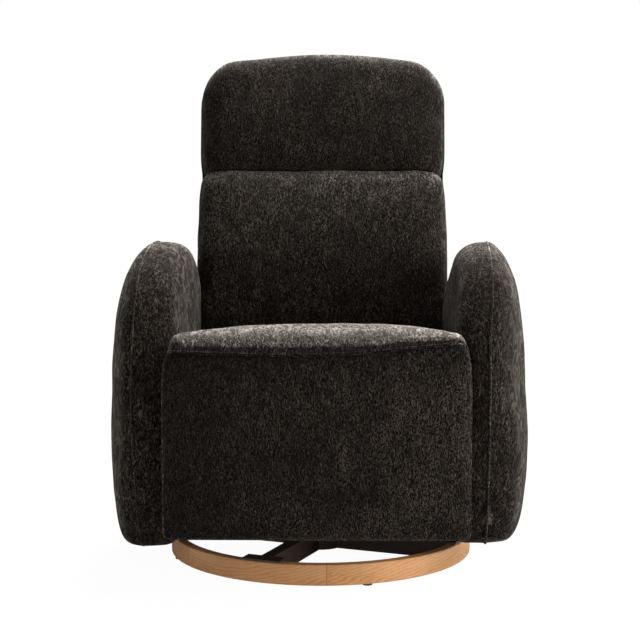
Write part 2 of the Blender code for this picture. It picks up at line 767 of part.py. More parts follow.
def make_seat_cushion():
    """Foam core on the springs, with drawn-in sides."""
    first, last = wire_line()
    slope = (last[1] - first[1]) / (last[0] - first[0])
    rise = SPRING_WIRE_RADIUS * math.hypot(1, slope) + TOUCH_GAP
    thickness_front = SEAM_FRONT_Z - math.tan(DECK_PITCH) * (SEAT_CORE_FRONT_Y - SEAM_FRONT_Y)
    half = PLATE_INNER_X - SEAT_CORE_SIDE_CLEARANCE
    corner = SEAT_CORE_CORNER
    shape = mirrored([(half, SEAT_CORE_FRONT_Y, corner), (half, SEAT_REAR_Y, corner)])
    outline = fillet_polygon(shape)
    middle_y = (SEAT_CORE_FRONT_Y + SEAT_REAR_Y) / 2
    mesh_data = bmesh.new()
    levels = []
    for share in (0.0, 0.25, 0.5, 0.75, 1.0):
        draw = SEAT_CORE_DRAW_IN * math.sin(math.pi * share)
        ring = []
        for a, b in outline:
            shrink_a = a * (1 - draw / half)
            shrink_b = middle_y + (b - middle_y) * (1 - draw / (SEAT_REAR_Y - middle_y))
            low = first[1] + slope * (shrink_b - first[0]) + rise
            high = thickness_front - math.tan(DECK_PITCH) * (shrink_b - SEAT_CORE_FRONT_Y) - TOUCH_GAP
            ring.append(mesh_data.verts.new((shrink_a, shrink_b, low + (high - low) * share)))
        levels.append(ring)
    for lower, upper in zip(levels, levels[1:]):
        for step in range(len(lower)):
            after = (step + 1) % len(lower)
            mesh_data.faces.new((lower[step], lower[after], upper[after], upper[step]))
    mesh_data.faces.new(levels[0])
    mesh_data.faces.new(levels[-1])
    add_solid("seat_cushion", mesh_data, "charcoal_chenille")


def make_seat_topper():
    """Crowned top of the seat, T-shaped: its front spreads before the arms."""
    length = (SEAT_REAR_Y - SEAM_FRONT_Y) / math.cos(DECK_PITCH)
    wing = SEAT_WING_HALF_WIDTH
    body = SEAT_BODY_HALF_WIDTH
    depth = SEAT_WING_DEPTH
    corner = SEAT_WING_CORNER / 2
    corners = [
        (wing, 0, SEAT_CORNER),
        (wing, depth, corner),
        (body, depth + corner, corner),
        (body, length, SEAT_CORNER),
    ]
    outline = spread_points(fillet_polygon(mirrored(corners)), SEAT_CORNER * 2)
    front = plain_dome(TOPPER_EDGE_DEPTH, TOPPER_CROWN, 9)
    pillow("seat_topper", outline, (0, length / 2), seat_point, front, None, "charcoal_chenille")


def spread_points(outline, longest):
    """Outline with extra points so that no side is longer than the given length."""
    spread = []
    for index, point in enumerate(outline):
        after = outline[(index + 1) % len(outline)]
        span = math.dist(point, after)
        pieces = max(1, math.ceil(span / longest))
        for step in range(pieces):
            share = step / pieces
            spread.append((point[0] + (after[0] - point[0]) * share, point[1] + (after[1] - point[1]) * share))
    return spread


# Arms


def arm_outline(inset_share=0.0):
    """Side outline of an arm as (y, z), drawn in towards its centre by a share."""
    depth = ARM_REAR_Y - ARM_FRONT_Y
    height = ARM_TOP_Z - ARM_BOTTOM_Z
    keys = [(ARM_FRONT_Y + a * depth, ARM_BOTTOM_Z + b * height) for a, b in ARM_OUTLINE_SHARES]
    centre = arm_centre()
    scale = 1 - inset_share
    outline = []
    for a, b in smooth_loop(keys, CURVE_STEPS - 1):
        outline.append((centre[0] + (a - centre[0]) * scale, centre[1] + (b - centre[1]) * scale))
    return outline


def arm_centre():
    a, b = ARM_CENTRE_SHARES
    depth = ARM_REAR_Y - ARM_FRONT_Y
    height = ARM_TOP_Z - ARM_BOTTOM_Z
    return (ARM_FRONT_Y + a * depth, ARM_BOTTOM_Z + b * height)


def arm_outer_height(scale, direction):
    """Outer dome: a high round shoulder above, a tighter edge below."""
    lift = math.sin(direction)
    edge_power = 3.2 - 1.0 * max(0.0, lift) ** 2 + 9.0 * max(0.0, -lift) ** 2
    edge_depth = ARM_OUTER_X - ARM_SEAM_X - ARM_OUTER_CROWN
    return dome_height(scale, edge_depth, ARM_OUTER_CROWN, edge_power, 2.2)


def make_arm(side, label):
    """Boxing half towards the seat, domed outer half, and the plywood panel between them."""
    panel_half = ARM_PANEL_THICKNESS / 2
    pocket_half = panel_half + TOUCH_GAP
    inner_edge = ARM_SEAM_X - SEAT_INNER_HALF_WIDTH - ARM_INNER_CROWN
    halves = (
        ("inner", -1, plain_dome(inner_edge, ARM_INNER_CROWN, 11, 2.0)),
        ("outer", 1, arm_outer_height),
    )
    pocket = arm_outline(ARM_PANEL_INSET_SHARE - POCKET_CLEARANCE / (ARM_TOP_Z - ARM_BOTTOM_Z) * 2)
    for part, outward, height in halves:
        place = arm_place(side, outward)
        name = f"arm_{part}_{label}"
        half = pillow(name, arm_outline(), arm_centre(), place, height, None, "charcoal_chenille")
        cut = bmesh.new()
        seam_to = outward * pocket_half
        low, high = sorted((-outward * CUT_OVERRUN, seam_to))
        extrude_outline(cut, pocket, (), side_view(side), ARM_SEAM_X + low, ARM_SEAM_X + high)
        combine(half, add_solid("pocket", cut, "birch_ply"), "DIFFERENCE")
    panel = arm_outline(ARM_PANEL_INSET_SHARE)
    low = ARM_SEAM_X - panel_half
    prism(f"arm_panel_{label}", panel, side_view(side), low, low + ARM_PANEL_THICKNESS, "birch_ply")


def arm_place(side, outward):
    """Place of a point of an arm half: (y, z) and its distance from the seam plane."""
    start = ARM_SEAM_X + outward * TOUCH_GAP / 2
    span = 1 - TOUCH_GAP / 2 / (ARM_SEAM_X - SEAT_INNER_HALF_WIDTH)
    return lambda a, b, rise: Vector((side * (start + outward * rise * span), a, b))


# Footrest


def make_footrest_links(side, label):
    """Scissor linkage of one side, in three layers beside the side plate."""
    outer = layer_middle(OUTER_LAYER)
    middle = layer_middle(MIDDLE_LAYER)
    inner = layer_middle(INNER_LAYER)
    half = FOOT_LINK_HALF_WIDTH
    pin = FOOT_PIN_RADIUS
    plate_face = PLATE_OUTER_X - TOUCH_GAP
    make_bar(
        f"footrest_drive_link_{label}",
        side,
        OUTER_LAYER,
        (DRIVE_PIVOT, ELBOW_PIVOT),
        half,
        pin,
        [(ELBOW_PIVOT, FOOT_HOLE_RADIUS), (STEER_PIVOT, FOOT_HOLE_RADIUS)],
        [(DRIVE_PIVOT, outer, plate_face)],
    )
    make_bar(
        f"footrest_control_link_{label}",
        side,
        INNER_LAYER,
        (CONTROL_PIVOT, TAIL_PIVOT),
        half,
        pin,
        [(TAIL_PIVOT, OPEN_HOLE_RADIUS)],
        [(CONTROL_PIVOT, inner, plate_face)],
    )
    make_bar(
        f"footrest_front_link_{label}",
        side,
        MIDDLE_LAYER,
        (TAIL_PIVOT, BRACKET_LOW_PIVOT),
        half,
        pin,
        [(BRACKET_LOW_PIVOT, FOOT_HOLE_RADIUS)],
        [(ELBOW_PIVOT, middle, OUTER_LAYER[1]), (TAIL_PIVOT, INNER_LAYER[0], middle)],
    )
    make_bar(
        f"footrest_steering_link_{label}",
        side,
        INNER_LAYER,
        (STEER_PIVOT, BRACKET_HIGH_PIVOT),
        half,
        pin,
        [(BRACKET_HIGH_PIVOT, OPEN_HOLE_RADIUS)],
        [(STEER_PIVOT, inner, OUTER_LAYER[1])],
    )
    make_bracket(f"footrest_bracket_{label}", side)


def board_rear_y():
    return PANEL_FRONT_Y + PAD_EDGE_DEPTH + PAD_CROWN + TOUCH_GAP + BOARD_THICKNESS


def make_bracket(name, side):
    """Steel angle on the board, with the two front pivots of the linkage."""
    flange_front = board_rear_y() + TOUCH_GAP
    rear = BRACKET_LOW_PIVOT[0] + BRACKET_MARGIN
    web_inner, web_outer = BRACKET_LAYER
    flange_end = web_outer - BRACKET_FLANGE
    outline = [
        (side * flange_end, flange_front),
        (side * web_outer, flange_front),
        (side * web_outer, rear),
        (side * web_inner, rear),
        (side * web_inner, flange_front + BRACKET_THICKNESS),
        (side * flange_end, flange_front + BRACKET_THICKNESS),
    ]
    low = BRACKET_LOW_PIVOT[1] - BRACKET_MARGIN
    high = BRACKET_HIGH_PIVOT[1] + BRACKET_MARGIN
    bracket = prism(name, outline, flat, low, high, "zinc_steel")
    studs = bmesh.new()
    start = layer_middle(BRACKET_LAYER)
    for pivot, end in ((BRACKET_LOW_PIVOT, MIDDLE_LAYER[1]), (BRACKET_HIGH_PIVOT, INNER_LAYER[1])):
        stud = circle(pivot, FOOT_PIN_RADIUS, PIN_SEGMENTS)
        extrude_outline(studs, stud, (), side_view(side), start, end)
    combine(bracket, add_solid(f"{name}_pins", studs, "zinc_steel"), "UNION")


def make_torque_tube():
    """Square tube that ties the two drive links together."""
    share = TORQUE_TUBE_SHARE
    middle = [a + (b - a) * share for a, b in zip(DRIVE_PIVOT, ELBOW_PIVOT)]
    half = TORQUE_TUBE_HALF_SIDE
    outline = circle(middle, half * math.sqrt(2), 4, math.pi / 4)
    reach = OUTER_LAYER[0] - TOUCH_GAP
    prism("footrest_torque_tube", outline, side_view(1), -reach, reach, "black_steel")


def panel_outline(margin, bottom_corner):
    """Front outline of the footrest as (x, z), drawn in by a margin."""
    half = PAD_HALF_WIDTH - margin
    low = PAD_BOTTOM_Z + margin
    high = SEAM_FRONT_Z - PAD_SEAM_GAP - margin
    wide = PAD_TOP_CORNER_WIDTH
    tall = PAD_TOP_CORNER_HEIGHT
    corners = mirrored([(half, low, bottom_corner), (half, high, tall, wide)])
    return fillet_polygon(corners, CORNER_STEPS + 1)


def make_footrest_board():
    rear = board_rear_y()
    prism("footrest_board", panel_outline(BOARD_MARGIN, BOARD_CORNER), upright, rear - BOARD_THICKNESS, rear, "birch_ply")


def make_footrest_pad():
    """Crowned front panel."""
    outline = spread_points(panel_outline(0, PAD_BOTTOM_CORNER), SEAT_CORNER * 2)
    rear = board_rear_y() - BOARD_THICKNESS - TOUCH_GAP
    middle = (PAD_BOTTOM_Z + SEAM_FRONT_Z) / 2
    front = plain_dome(PAD_EDGE_DEPTH, PAD_CROWN, 24)
    place = lambda a, b, rise: Vector((a, rear - rise, b))
    pillow("footrest_pad", outline, (0, middle), place, front, None, "charcoal_chenille")


# Back


def mirrored(corners):
    """Corners of one side followed by those of the other, in order round the outline."""
    return corners + [(-a, b, *reversed(reach)) for a, b, *reach in reversed(corners)]


def lower_corners():
    """Side of the back below the shoulders: narrow between the arms and wide above them."""
    return [
        (BACK_NARROW_HALF_WIDTH, BACK_NARROW_TO, LUMBAR_CORNER),
        (BACK_WIDE_HALF_WIDTH, BACK_WIDE_FROM, LUMBAR_CORNER),
    ]


def upper_corners():
    """Top of the back: large elliptic corners under a slightly risen middle."""
    shoulder = HEADREST_TOP - HEADREST_CROWN_RISE
    return [
        (LUMBAR_TOP_HALF_WIDTH, shoulder, HEADREST_CORNER_HEIGHT, HEADREST_CORNER_WIDTH),
        (HEADREST_CORNER_WIDTH / 2, HEADREST_TOP, HEADREST_CORNER_WIDTH / 2),
    ]


def make_lumbar():
    corners = [
        (TONGUE_HALF_WIDTH, LUMBAR_BOTTOM, TONGUE_CORNER),
        (TONGUE_HALF_WIDTH, TONGUE_TOP, TONGUE_CORNER),
        (BACK_NARROW_HALF_WIDTH, TONGUE_TOP, TONGUE_CORNER),
        *lower_corners(),
        (LUMBAR_TOP_HALF_WIDTH, LUMBAR_TOP, LUMBAR_CORNER),
    ]
    outline = spread_points(fillet_polygon(mirrored(corners)), SEAT_CORNER * 2)
    middle = (LUMBAR_BOTTOM + LUMBAR_TOP) / 2
    front = plain_dome(LUMBAR_EDGE_DEPTH, LUMBAR_CROWN, 12)
    pillow("lumbar_cushion", outline, (0, middle), back_point, front, None, "charcoal_chenille")


def make_headrest():
    bottom = LUMBAR_TOP + HEADREST_SEAM_GAP
    corners = [(LUMBAR_TOP_HALF_WIDTH, bottom, LUMBAR_CORNER), *upper_corners()]
    outline = spread_points(fillet_polygon(mirrored(corners)), SEAT_CORNER * 2)
    middle = (bottom + HEADREST_TOP) / 2
    front = plain_dome(HEADREST_EDGE_DEPTH, HEADREST_CROWN, 9)
    pillow("headrest_cushion", outline, (0, middle), back_point, front, None, "charcoal_chenille")


def make_outer_back():
    """Upholstered outer back with a pocket for the frame."""
    foot = (BACK_NARROW_HALF_WIDTH, OUTER_BACK_BOTTOM, LUMBAR_CORNER)
    corners = [foot, *lower_corners(), *upper_corners()]
    outline = spread_points(fillet_polygon(mirrored(corners)), SEAT_CORNER * 2)
    middle = (OUTER_BACK_BOTTOM + HEADREST_TOP) / 2
    rear = plain_dome(OUTER_BACK_EDGE_DEPTH, OUTER_BACK_CROWN, 14)
    pocket_depth = BACK_FRAME_THICKNESS + TOUCH_GAP + POCKET_CLEARANCE

    def place(a, b, rise):
        share = rise / (OUTER_BACK_EDGE_DEPTH + OUTER_BACK_CROWN)
        return back_point(a, b, -TOUCH_GAP - rise - pocket_depth * min(1.0, share * 2))

    shell = pillow("outer_back", outline, (0, middle), place, rear, None, "charcoal_chenille")
    half = OUTER_LAYER[1] + LAYER_GAP / 2
    low_end = STILE_BOTTOM - CUT_OVERRUN
    corners = mirrored([(half, low_end), (half, FRAME_TOP + POCKET_CLEARANCE)])
    cut = bmesh.new()
    extrude_outline(cut, corners, (), back_point, -TOUCH_GAP - pocket_depth, CUT_OVERRUN)
    combine(shell, add_solid("pocket", cut, "birch_ply"), "DIFFERENCE")


def make_back_frame():
    """Two stiles and three rails behind the cushions."""
    stile_outer = OUTER_LAYER[0] - TOUCH_GAP
    stile_inner = stile_outer - STILE_WIDTH
    low = -TOUCH_GAP - BACK_FRAME_THICKNESS
    for side, label in ((1, "left"), (-1, "right")):
        a, b = side * stile_inner, side * stile_outer
        outline = [(a, STILE_BOTTOM), (b, STILE_BOTTOM), (b, FRAME_TOP), (a, FRAME_TOP)]
        prism(f"back_stile_{label}", outline, back_point, low, -TOUCH_GAP, "birch_ply")
    reach = stile_inner - TOUCH_GAP
    rails = (
        ("back_rail_low", BOTTOM_RAIL_UP),
        ("back_rail_middle", LUMBAR_TOP - BACK_RAIL_HEIGHT / 2),
        ("back_rail_top", FRAME_TOP - BACK_RAIL_HEIGHT),
    )
    for name, bottom in rails:
        top = bottom + BACK_RAIL_HEIGHT
        outline = [(-reach, bottom), (reach, bottom), (reach, top), (-reach, top)]
        prism(name, outline, back_point, low, -TOUCH_GAP, "birch_ply")


def make_back_hinge(name, side):
    """Plate on the stile whose pin turns in the seat's side plate."""
    front = -TOUCH_GAP - HINGE_PLATE_INSET
    rear = -TOUCH_GAP - BACK_FRAME_THICKNESS + HINGE_PLATE_INSET
    eye = HINGE_EYE_RADIUS
    corner = eye / 2
    drawn = [
        (rear, HINGE_PLATE_TOP, corner),
        (rear, STILE_BOTTOM, corner),
        (HINGE_FORWARD - eye, HINGE_UP - eye, eye),
        (HINGE_FORWARD + eye, HINGE_UP - eye, eye),
        (HINGE_FORWARD + eye, HINGE_UP + eye, eye),
        (front, HINGE_UP + eye, HINGE_PLATE_INSET),
        (front, HINGE_PLATE_TOP, corner),
    ]
    outline = []
    for forward, up in fillet_polygon(drawn):
        point = back_point(0, up, forward)
        outline.append((point.y, point.z))
    place = side_view(side)
    plate = prism(name, outline, place, *OUTER_LAYER, "black_steel")
    stud = bmesh.new()
    pin = circle(hinge_axis(), PIN_RADIUS, PIN_SEGMENTS)
    extrude_outline(stud, pin, (), place, layer_middle(OUTER_LAYER), PLATE_OUTER_X)
    combine(plate, add_solid(f"{name}_pin", stud, "black_steel"), "UNION")


def make_rear_skirt():
    """Panel that closes the body under the back."""
    half = RAIL_OUTER_X
    shape = mirrored([(half, SKIRT_BOTTOM_Z, SKIRT_CORNER), (half, SKIRT_TOP_Z, SKIRT_CORNER)])
    low = SIDE_RAIL_REAR_Y + TOUCH_GAP
    prism("rear_skirt", fillet_polygon(shape), upright, low, low + SKIRT_THICKNESS, "charcoal_chenille")


def main():
    clear_scene()
    make_wood_ring()
    make_glides()
    make_base_cross()
    make_race("lower_race", LOWER_RACE_Z, groove_up=True)
    make_race("upper_race", UPPER_RACE_Z, groove_up=False)
    make_king_bolt()
    make_swivel_plate()
    make_cross_channel("cross_channel_front", -CHANNEL_OFFSET)
    make_cross_channel("cross_channel_rear", CHANNEL_OFFSET)
    for side, label in ((1, "left"), (-1, "right")):
        make_stanchion(f"stanchion_{label}", side)
        make_glide_link(f"glide_link_front_{label}", side, GLIDE_FRONT_Y)
        make_glide_link(f"glide_link_rear_{label}", side, GLIDE_REAR_Y)
        make_side_plate(f"side_plate_{label}", side)
        make_side_rail(f"seat_rail_{label}", side)
        make_arm(side, label)
        make_footrest_links(side, label)
        make_back_hinge(f"back_hinge_{label}", side)
    make_cross_rail("seat_rail_front", FRONT_RAIL_FRONT_Y, FRONT_RAIL_BOTTOM_Z, FRONT_RAIL_TOP_Z)
    make_cross_rail("seat_rail_rear", REAR_RAIL_FRONT_Y, REAR_RAIL_BOTTOM_Z, REAR_RAIL_TOP_Z)
    for index in range(SPRING_COUNT):
        across = (index - (SPRING_COUNT - 1) / 2) * SPRING_SPACING
        make_seat_spring(f"seat_spring_{index + 1}", across)
    make_seat_cushion()
    make_seat_topper()
    make_torque_tube()
    make_footrest_board()
    make_footrest_pad()
    make_lumbar()
    make_headrest()
    make_outer_back()
    make_back_frame()
    make_rear_skirt()


main()
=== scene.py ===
"""Looks of the nursery glider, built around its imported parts.

The file is laid out as an add-on and is run as a script. Lengths are in metres, +Z is up,
the front faces -Y and +X is the sitter's left.
"""

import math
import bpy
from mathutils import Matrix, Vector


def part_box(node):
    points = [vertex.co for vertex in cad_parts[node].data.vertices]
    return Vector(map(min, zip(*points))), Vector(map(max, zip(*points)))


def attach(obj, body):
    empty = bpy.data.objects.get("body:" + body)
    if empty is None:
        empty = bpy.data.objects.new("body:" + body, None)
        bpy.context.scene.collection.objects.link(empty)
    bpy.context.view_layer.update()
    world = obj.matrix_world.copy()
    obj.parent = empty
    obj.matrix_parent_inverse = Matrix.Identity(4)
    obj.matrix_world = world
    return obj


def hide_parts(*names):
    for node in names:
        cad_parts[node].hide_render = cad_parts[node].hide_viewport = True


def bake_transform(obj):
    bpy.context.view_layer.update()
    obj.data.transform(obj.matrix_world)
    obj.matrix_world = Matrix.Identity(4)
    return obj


bl_info = {
    "name": "Nursery glider looks",
    "version": (1, 0, 0),
    "blender": (4, 5, 0),
    "location": "3D View > Sidebar > Glider",
    "description": "Dresses the packed nursery glider in its cover, wood and steel",
    "category": "Object",
}

from contextlib import contextmanager

import bmesh
import bpy
import numpy as np
from bpy.props import FloatProperty, FloatVectorProperty, IntProperty, PointerProperty
from mathutils import Vector, noise

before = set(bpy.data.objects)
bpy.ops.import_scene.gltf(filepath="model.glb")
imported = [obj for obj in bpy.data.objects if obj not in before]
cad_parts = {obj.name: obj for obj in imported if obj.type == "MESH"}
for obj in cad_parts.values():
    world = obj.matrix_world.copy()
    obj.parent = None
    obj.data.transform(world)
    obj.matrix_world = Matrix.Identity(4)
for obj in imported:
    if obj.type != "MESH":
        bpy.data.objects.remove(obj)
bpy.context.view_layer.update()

SIDES = ((1, "left"), (-1, "right"))

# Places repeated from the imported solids
BACK_LEAN = math.radians(17)
BACK_FOOT = Vector((0, 0.205, 0.450))
BACK_UP = Vector((0, math.sin(BACK_LEAN), math.cos(BACK_LEAN)))
BACK_FORWARD = Vector((0, -math.cos(BACK_LEAN), math.sin(BACK_LEAN)))
BACK_SEAM = 0.3037
BACK_TOP = 0.5765
BACK_NARROW = 0.2490
BACK_WIDE = 0.2645
BACK_SHOULDER = 0.2620
SEAT_PITCH = math.radians(6.7)
SEAT_SEAM = Vector((0, -0.430, 0.4475))
SEAT_REARWARD = Vector((0, math.cos(SEAT_PITCH), -math.sin(SEAT_PITCH)))
SEAT_UPWARD = Vector((0, math.sin(SEAT_PITCH), math.cos(SEAT_PITCH)))
ARM_SEAM_X = 0.318
ARM_LOW = Vector((-0.350, 0.058))
ARM_SIZE = Vector((0.650, 0.561))
ARM_CENTRE_SHARES = (0.50, 0.52)
ARM_OUTLINE_SHARES = (
    (0.200, 0.001), (0.110, 0.078), (0.042, 0.250), (0.000, 0.480), (0.022, 0.690), (0.115, 0.870),
    (0.290, 0.972), (0.500, 1.000), (0.700, 0.945), (0.862, 0.815), (0.960, 0.640), (1.000, 0.430),
    (0.985, 0.210), (0.935, 0.065), (0.840, 0.006), (0.530, 0.000),
)
RING_RADIUS = 0.299

HARD_EDGE = math.radians(50)
CLOTH_PRESSURE = 4.0
CLOTH_FRAMES = 16
CORD_SIDES = 7
PLAIN = (1.0, 1.0)

ARM_EDGE = 0.064
ARM_FLAT_X = 0.257
SEAT_TOP_DEPTH = 0.034
SEAT_TOP_LENGTH = 0.541
SEAT_EDGE_HALF = 0.236
SEAM_DIP = 0.0035
BLOCK_LEVELS = 7
BLOCK_FRONT_Y = -0.305
BLOCK_LENGTH = 0.495
BLOCK_LOW_FRONT = 0.3692
BLOCK_FALL = 0.0569
PANEL_DEPTH = 0.044
FLAP_TOP = Vector((0, 0.240, 0.398))
FLAP_HALF_WIDTH = 0.247
FLOOR_HALF = 6.0

# Seed, shade, painted top light (glow) of rounded tops, painted side light and shade at the sitter's right
# and left, and size of the tufts. The shade is painted light and shade: the covers are lighter and darker
# copies of the one cloth, each set to how brightly its part is lit.
COVERS = {
    "cover_arms": (1.7, 0.94, 0.0, (1.13, 0.87), 1.3),
    "cover_back": (4.1, 0.86, 0.8, PLAIN, 0.86),
    "cover_lumbar": (4.1, 1.07, 2.6, PLAIN, 1.0),
    "cover_seat": (7.3, 1.0, 3.1, PLAIN, 1.0),
    "cover_footrest": (9.9, 0.82, 0.0, (0.52, 1.66), 0.92),
    "cover_rear": (6.0, 0.92, 0.0, PLAIN, 1.0),
    # Painted highlight: the piping is a much brighter copy of the cloth, standing in for light caught along
    # the raised seams.
    "cover_piping": (2.9, 1.9, 0.0, PLAIN, 1.0),
}


class GliderCover(bpy.types.PropertyGroup):
    """Yarn and padding of the cover."""

    yarn_dark: FloatVectorProperty(
        name="Dark yarn", description="Colour between the tufts of the chenille", subtype="COLOR", size=3,
        min=0, max=1, default=(0.0036, 0.0028, 0.0022)
    )
    yarn_light: FloatVectorProperty(
        name="Light yarn", description="Colour of the tips of the chenille", subtype="COLOR", size=3, min=0,
        max=1, default=(0.056, 0.0452, 0.0375)
    )
    tuft_width: FloatProperty(
        name="Tuft width", description="Width of one chenille tuft", default=0.0034, min=0.0005, max=0.01,
        unit="LENGTH"
    )
    tuft_length: FloatProperty(
        name="Tuft length", description="Length of one chenille tuft along the nap", default=0.0078,
        min=0.001, max=0.05, unit="LENGTH"
    )
    # Painted sheen: this brightens the cover's colour where it is seen at a grazing angle, more on faces
    # turned up.
    painted_sheen_strength: FloatProperty(
        name="Nap glow",
        description="How much brighter level parts of the nap are where they are seen flat", default=3.6,
        min=0, max=20
    )
    seam_radius: FloatProperty(
        name="Seam radius", description="Half the width of a sewn seam that stands proud of the cover",
        default=0.0016, min=0.0005, max=0.006, unit="LENGTH"
    )
    pucker: FloatProperty(
        name="Pucker", description="Height of the small folds that run out from a seam", default=0.0014,
        min=0, max=0.01, unit="LENGTH"
    )
    front_seam_lift: FloatProperty(
        name="Front seam lift", description="Rise of the seam over the front panel at the sitter's left",
        default=0.0194, min=0, max=0.03, unit="LENGTH"
    )
    front_draw: FloatProperty(
        name="Front draw",
        description="Share by which the front of the seat and the panel are drawn in at the sitter's left",
        default=0.022, min=0, max=0.06
    )
    arm_seam_drift: FloatProperty(
        name="Arm seam drift",
        description="How far the seams at the front of the arms lie towards the sitter's right",
        default=0.014, min=0, max=0.03, unit="LENGTH"
    )
    lump: FloatProperty(
        name="Lump", description="Height of the soft unevenness of the padding", default=0.0024, min=0,
        max=0.02, unit="LENGTH"
    )


class GliderWood(bpy.types.PropertyGroup):
    """Timber of the ring and the inner frame."""

    early_wood: FloatVectorProperty(
        name="Early wood", description="Light colour between the year rings of the floor ring",
        subtype="COLOR", size=3, min=0, max=1, default=(0.54, 0.26, 0.092)
    )
    late_wood: FloatVectorProperty(
        name="Late wood", description="Dark colour of the year rings of the floor ring", subtype="COLOR",
        size=3, min=0, max=1, default=(0.27, 0.11, 0.036)
    )
    segments: IntProperty(
        name="Ring segments", description="How many pieces of timber the floor ring is glued from",
        default=6, min=3, max=16
    )


class GliderStage(bpy.types.PropertyGroup):
    """Camera and lamps."""

    distance: FloatProperty(
        name="Camera distance", description="Distance over the floor from the ring's middle to the camera",
        default=3.0174, min=1, max=20, unit="LENGTH"
    )
    height: FloatProperty(
        name="Camera height", description="Height of the camera over the floor", default=0.7536, min=0.1,
        max=5, unit="LENGTH"
    )
    turn: FloatProperty(
        name="Camera turn", description="Turn of the camera round the chair, towards the sitter's left",
        default=0.0124, subtype="ANGLE"
    )
    tilt: FloatProperty(
        name="Camera tilt", description="How far the camera looks down", default=0.0964, subtype="ANGLE"
    )
    lens: FloatProperty(
        name="Focal length", description="Focal length of the camera in millimetres", default=85.70, min=20,
        max=300
    )
    top_power: FloatProperty(
        name="Top lamp", description="Power of the wide lamp above the chair", default=160, min=0, max=1000,
        unit="POWER"
    )
    side_power: FloatProperty(
        name="Side lamp", description="Power of the lamp on the sitter's left", default=64, min=0, max=1000,
        unit="POWER"
    )
    rear_power: FloatProperty(
        name="Rear lamp", description="Power of the lamp behind the chair", default=75, min=0, max=1000,
        unit="POWER"
    )
    low_power: FloatProperty(
        name="Low lamps", description="Power of the small lamp near the floor on each side", default=9,
        min=0, max=1000, unit="POWER"
    )
    fill_power: FloatProperty(
        name="Fill lamp", description="Power of the wide lamp in front", default=54, min=0, max=1000,
        unit="POWER"
    )


# Outlines and closed forms


def fillet_polygon(corners, steps=9):
    """Outline through corners (a, b, reach before, reach after), each rounded by an arc."""
    outline = []
    for index, (a, b, *reach) in enumerate(corners):
        if not reach or reach[0] == 0:
            outline.append((a, b))
            continue
        here = Vector((a, b))
        before = Vector(corners[index - 1][:2])
        after = Vector(corners[(index + 1) % len(corners)][:2])
        start = (before - here).normalized() * reach[0]
        end = (after - here).normalized() * reach[-1]
        for step in range(steps + 1):
            turn = math.pi / 2 * step / steps
            point = here + start * (1 - math.sin(turn)) + end * (1 - math.cos(turn))
            outline.append((point.x, point.y))
    return outline


def mirrored(corners):
    """Corners of one side followed by those of the other, in order round the outline."""
    return corners + [(-a, b, *reversed(reach)) for a, b, *reach in reversed(corners)]


def smooth_loop(keys, steps):
    """Closed smooth curve through the key points."""
    outline = []
    count = len(keys)
    for index in range(count):
        p0, p1, p2, p3 = (Vector(keys[(index + shift) % count]) for shift in (-1, 0, 1, 2))
        for step in range(steps):
            t = step / steps
            point = 0.5 * (
                2 * p1
                + (p2 - p0) * t
                + (2 * p0 - 5 * p1 + 4 * p2 - p3) * t**2
                + (3 * p1 - p0 - 3 * p2 + p3) * t**3
            )
            outline.append((point.x, point.y))
    return outline


def resampled(points, count):
    """Evenly spaced points along an open line."""
    points = np.asarray(points, float)
    steps = np.linalg.norm(np.diff(points, axis=0), axis=1)
    along = np.concatenate(([0.0], np.cumsum(steps)))
    wanted = np.linspace(0, along[-1], count + 1)
    columns = [np.interp(wanted, along, points[:, axis]) for axis in range(points.shape[1])]
    return np.stack(columns, axis=1)


def sides_of(outline):
    """The outline cut into its bottom, right, top and left sides, anticlockwise."""
    points = np.asarray(outline, float)
    middle = (points.min(0) + points.max(0)) / 2
    half = (points.max(0) - points.min(0)) / 2
    shares = (points - middle) / half
    if np.sum(points[:, 0] * np.roll(points[:, 1], -1) - points[:, 1] * np.roll(points[:, 0], -1)) < 0:
        points = points[::-1]
        shares = shares[::-1]
    corners = [int(np.argmax(shares @ np.array(way))) for way in ((-1, -1), (1, -1), (1, 1), (-1, 1))]
    sides = []
    for index, start in enumerate(corners):
        end = corners[(index + 1) % 4]
        count = (end - start) % len(points)
        sides.append(points[[(start + step) % len(points) for step in range(count + 1)]])
    return sides


def net(rows, columns, start=0, closed=False):
    """Four-sided faces over rows of points. Closed rows join their end to their start."""
    faces = []
    for row in range(rows - 1):
        near = start + row * columns
        far = near + columns
        for column in range(columns if closed else columns - 1):
            after = (column + 1) % columns
            faces.append((near + column, near + after, far + after, far + column))
    return faces


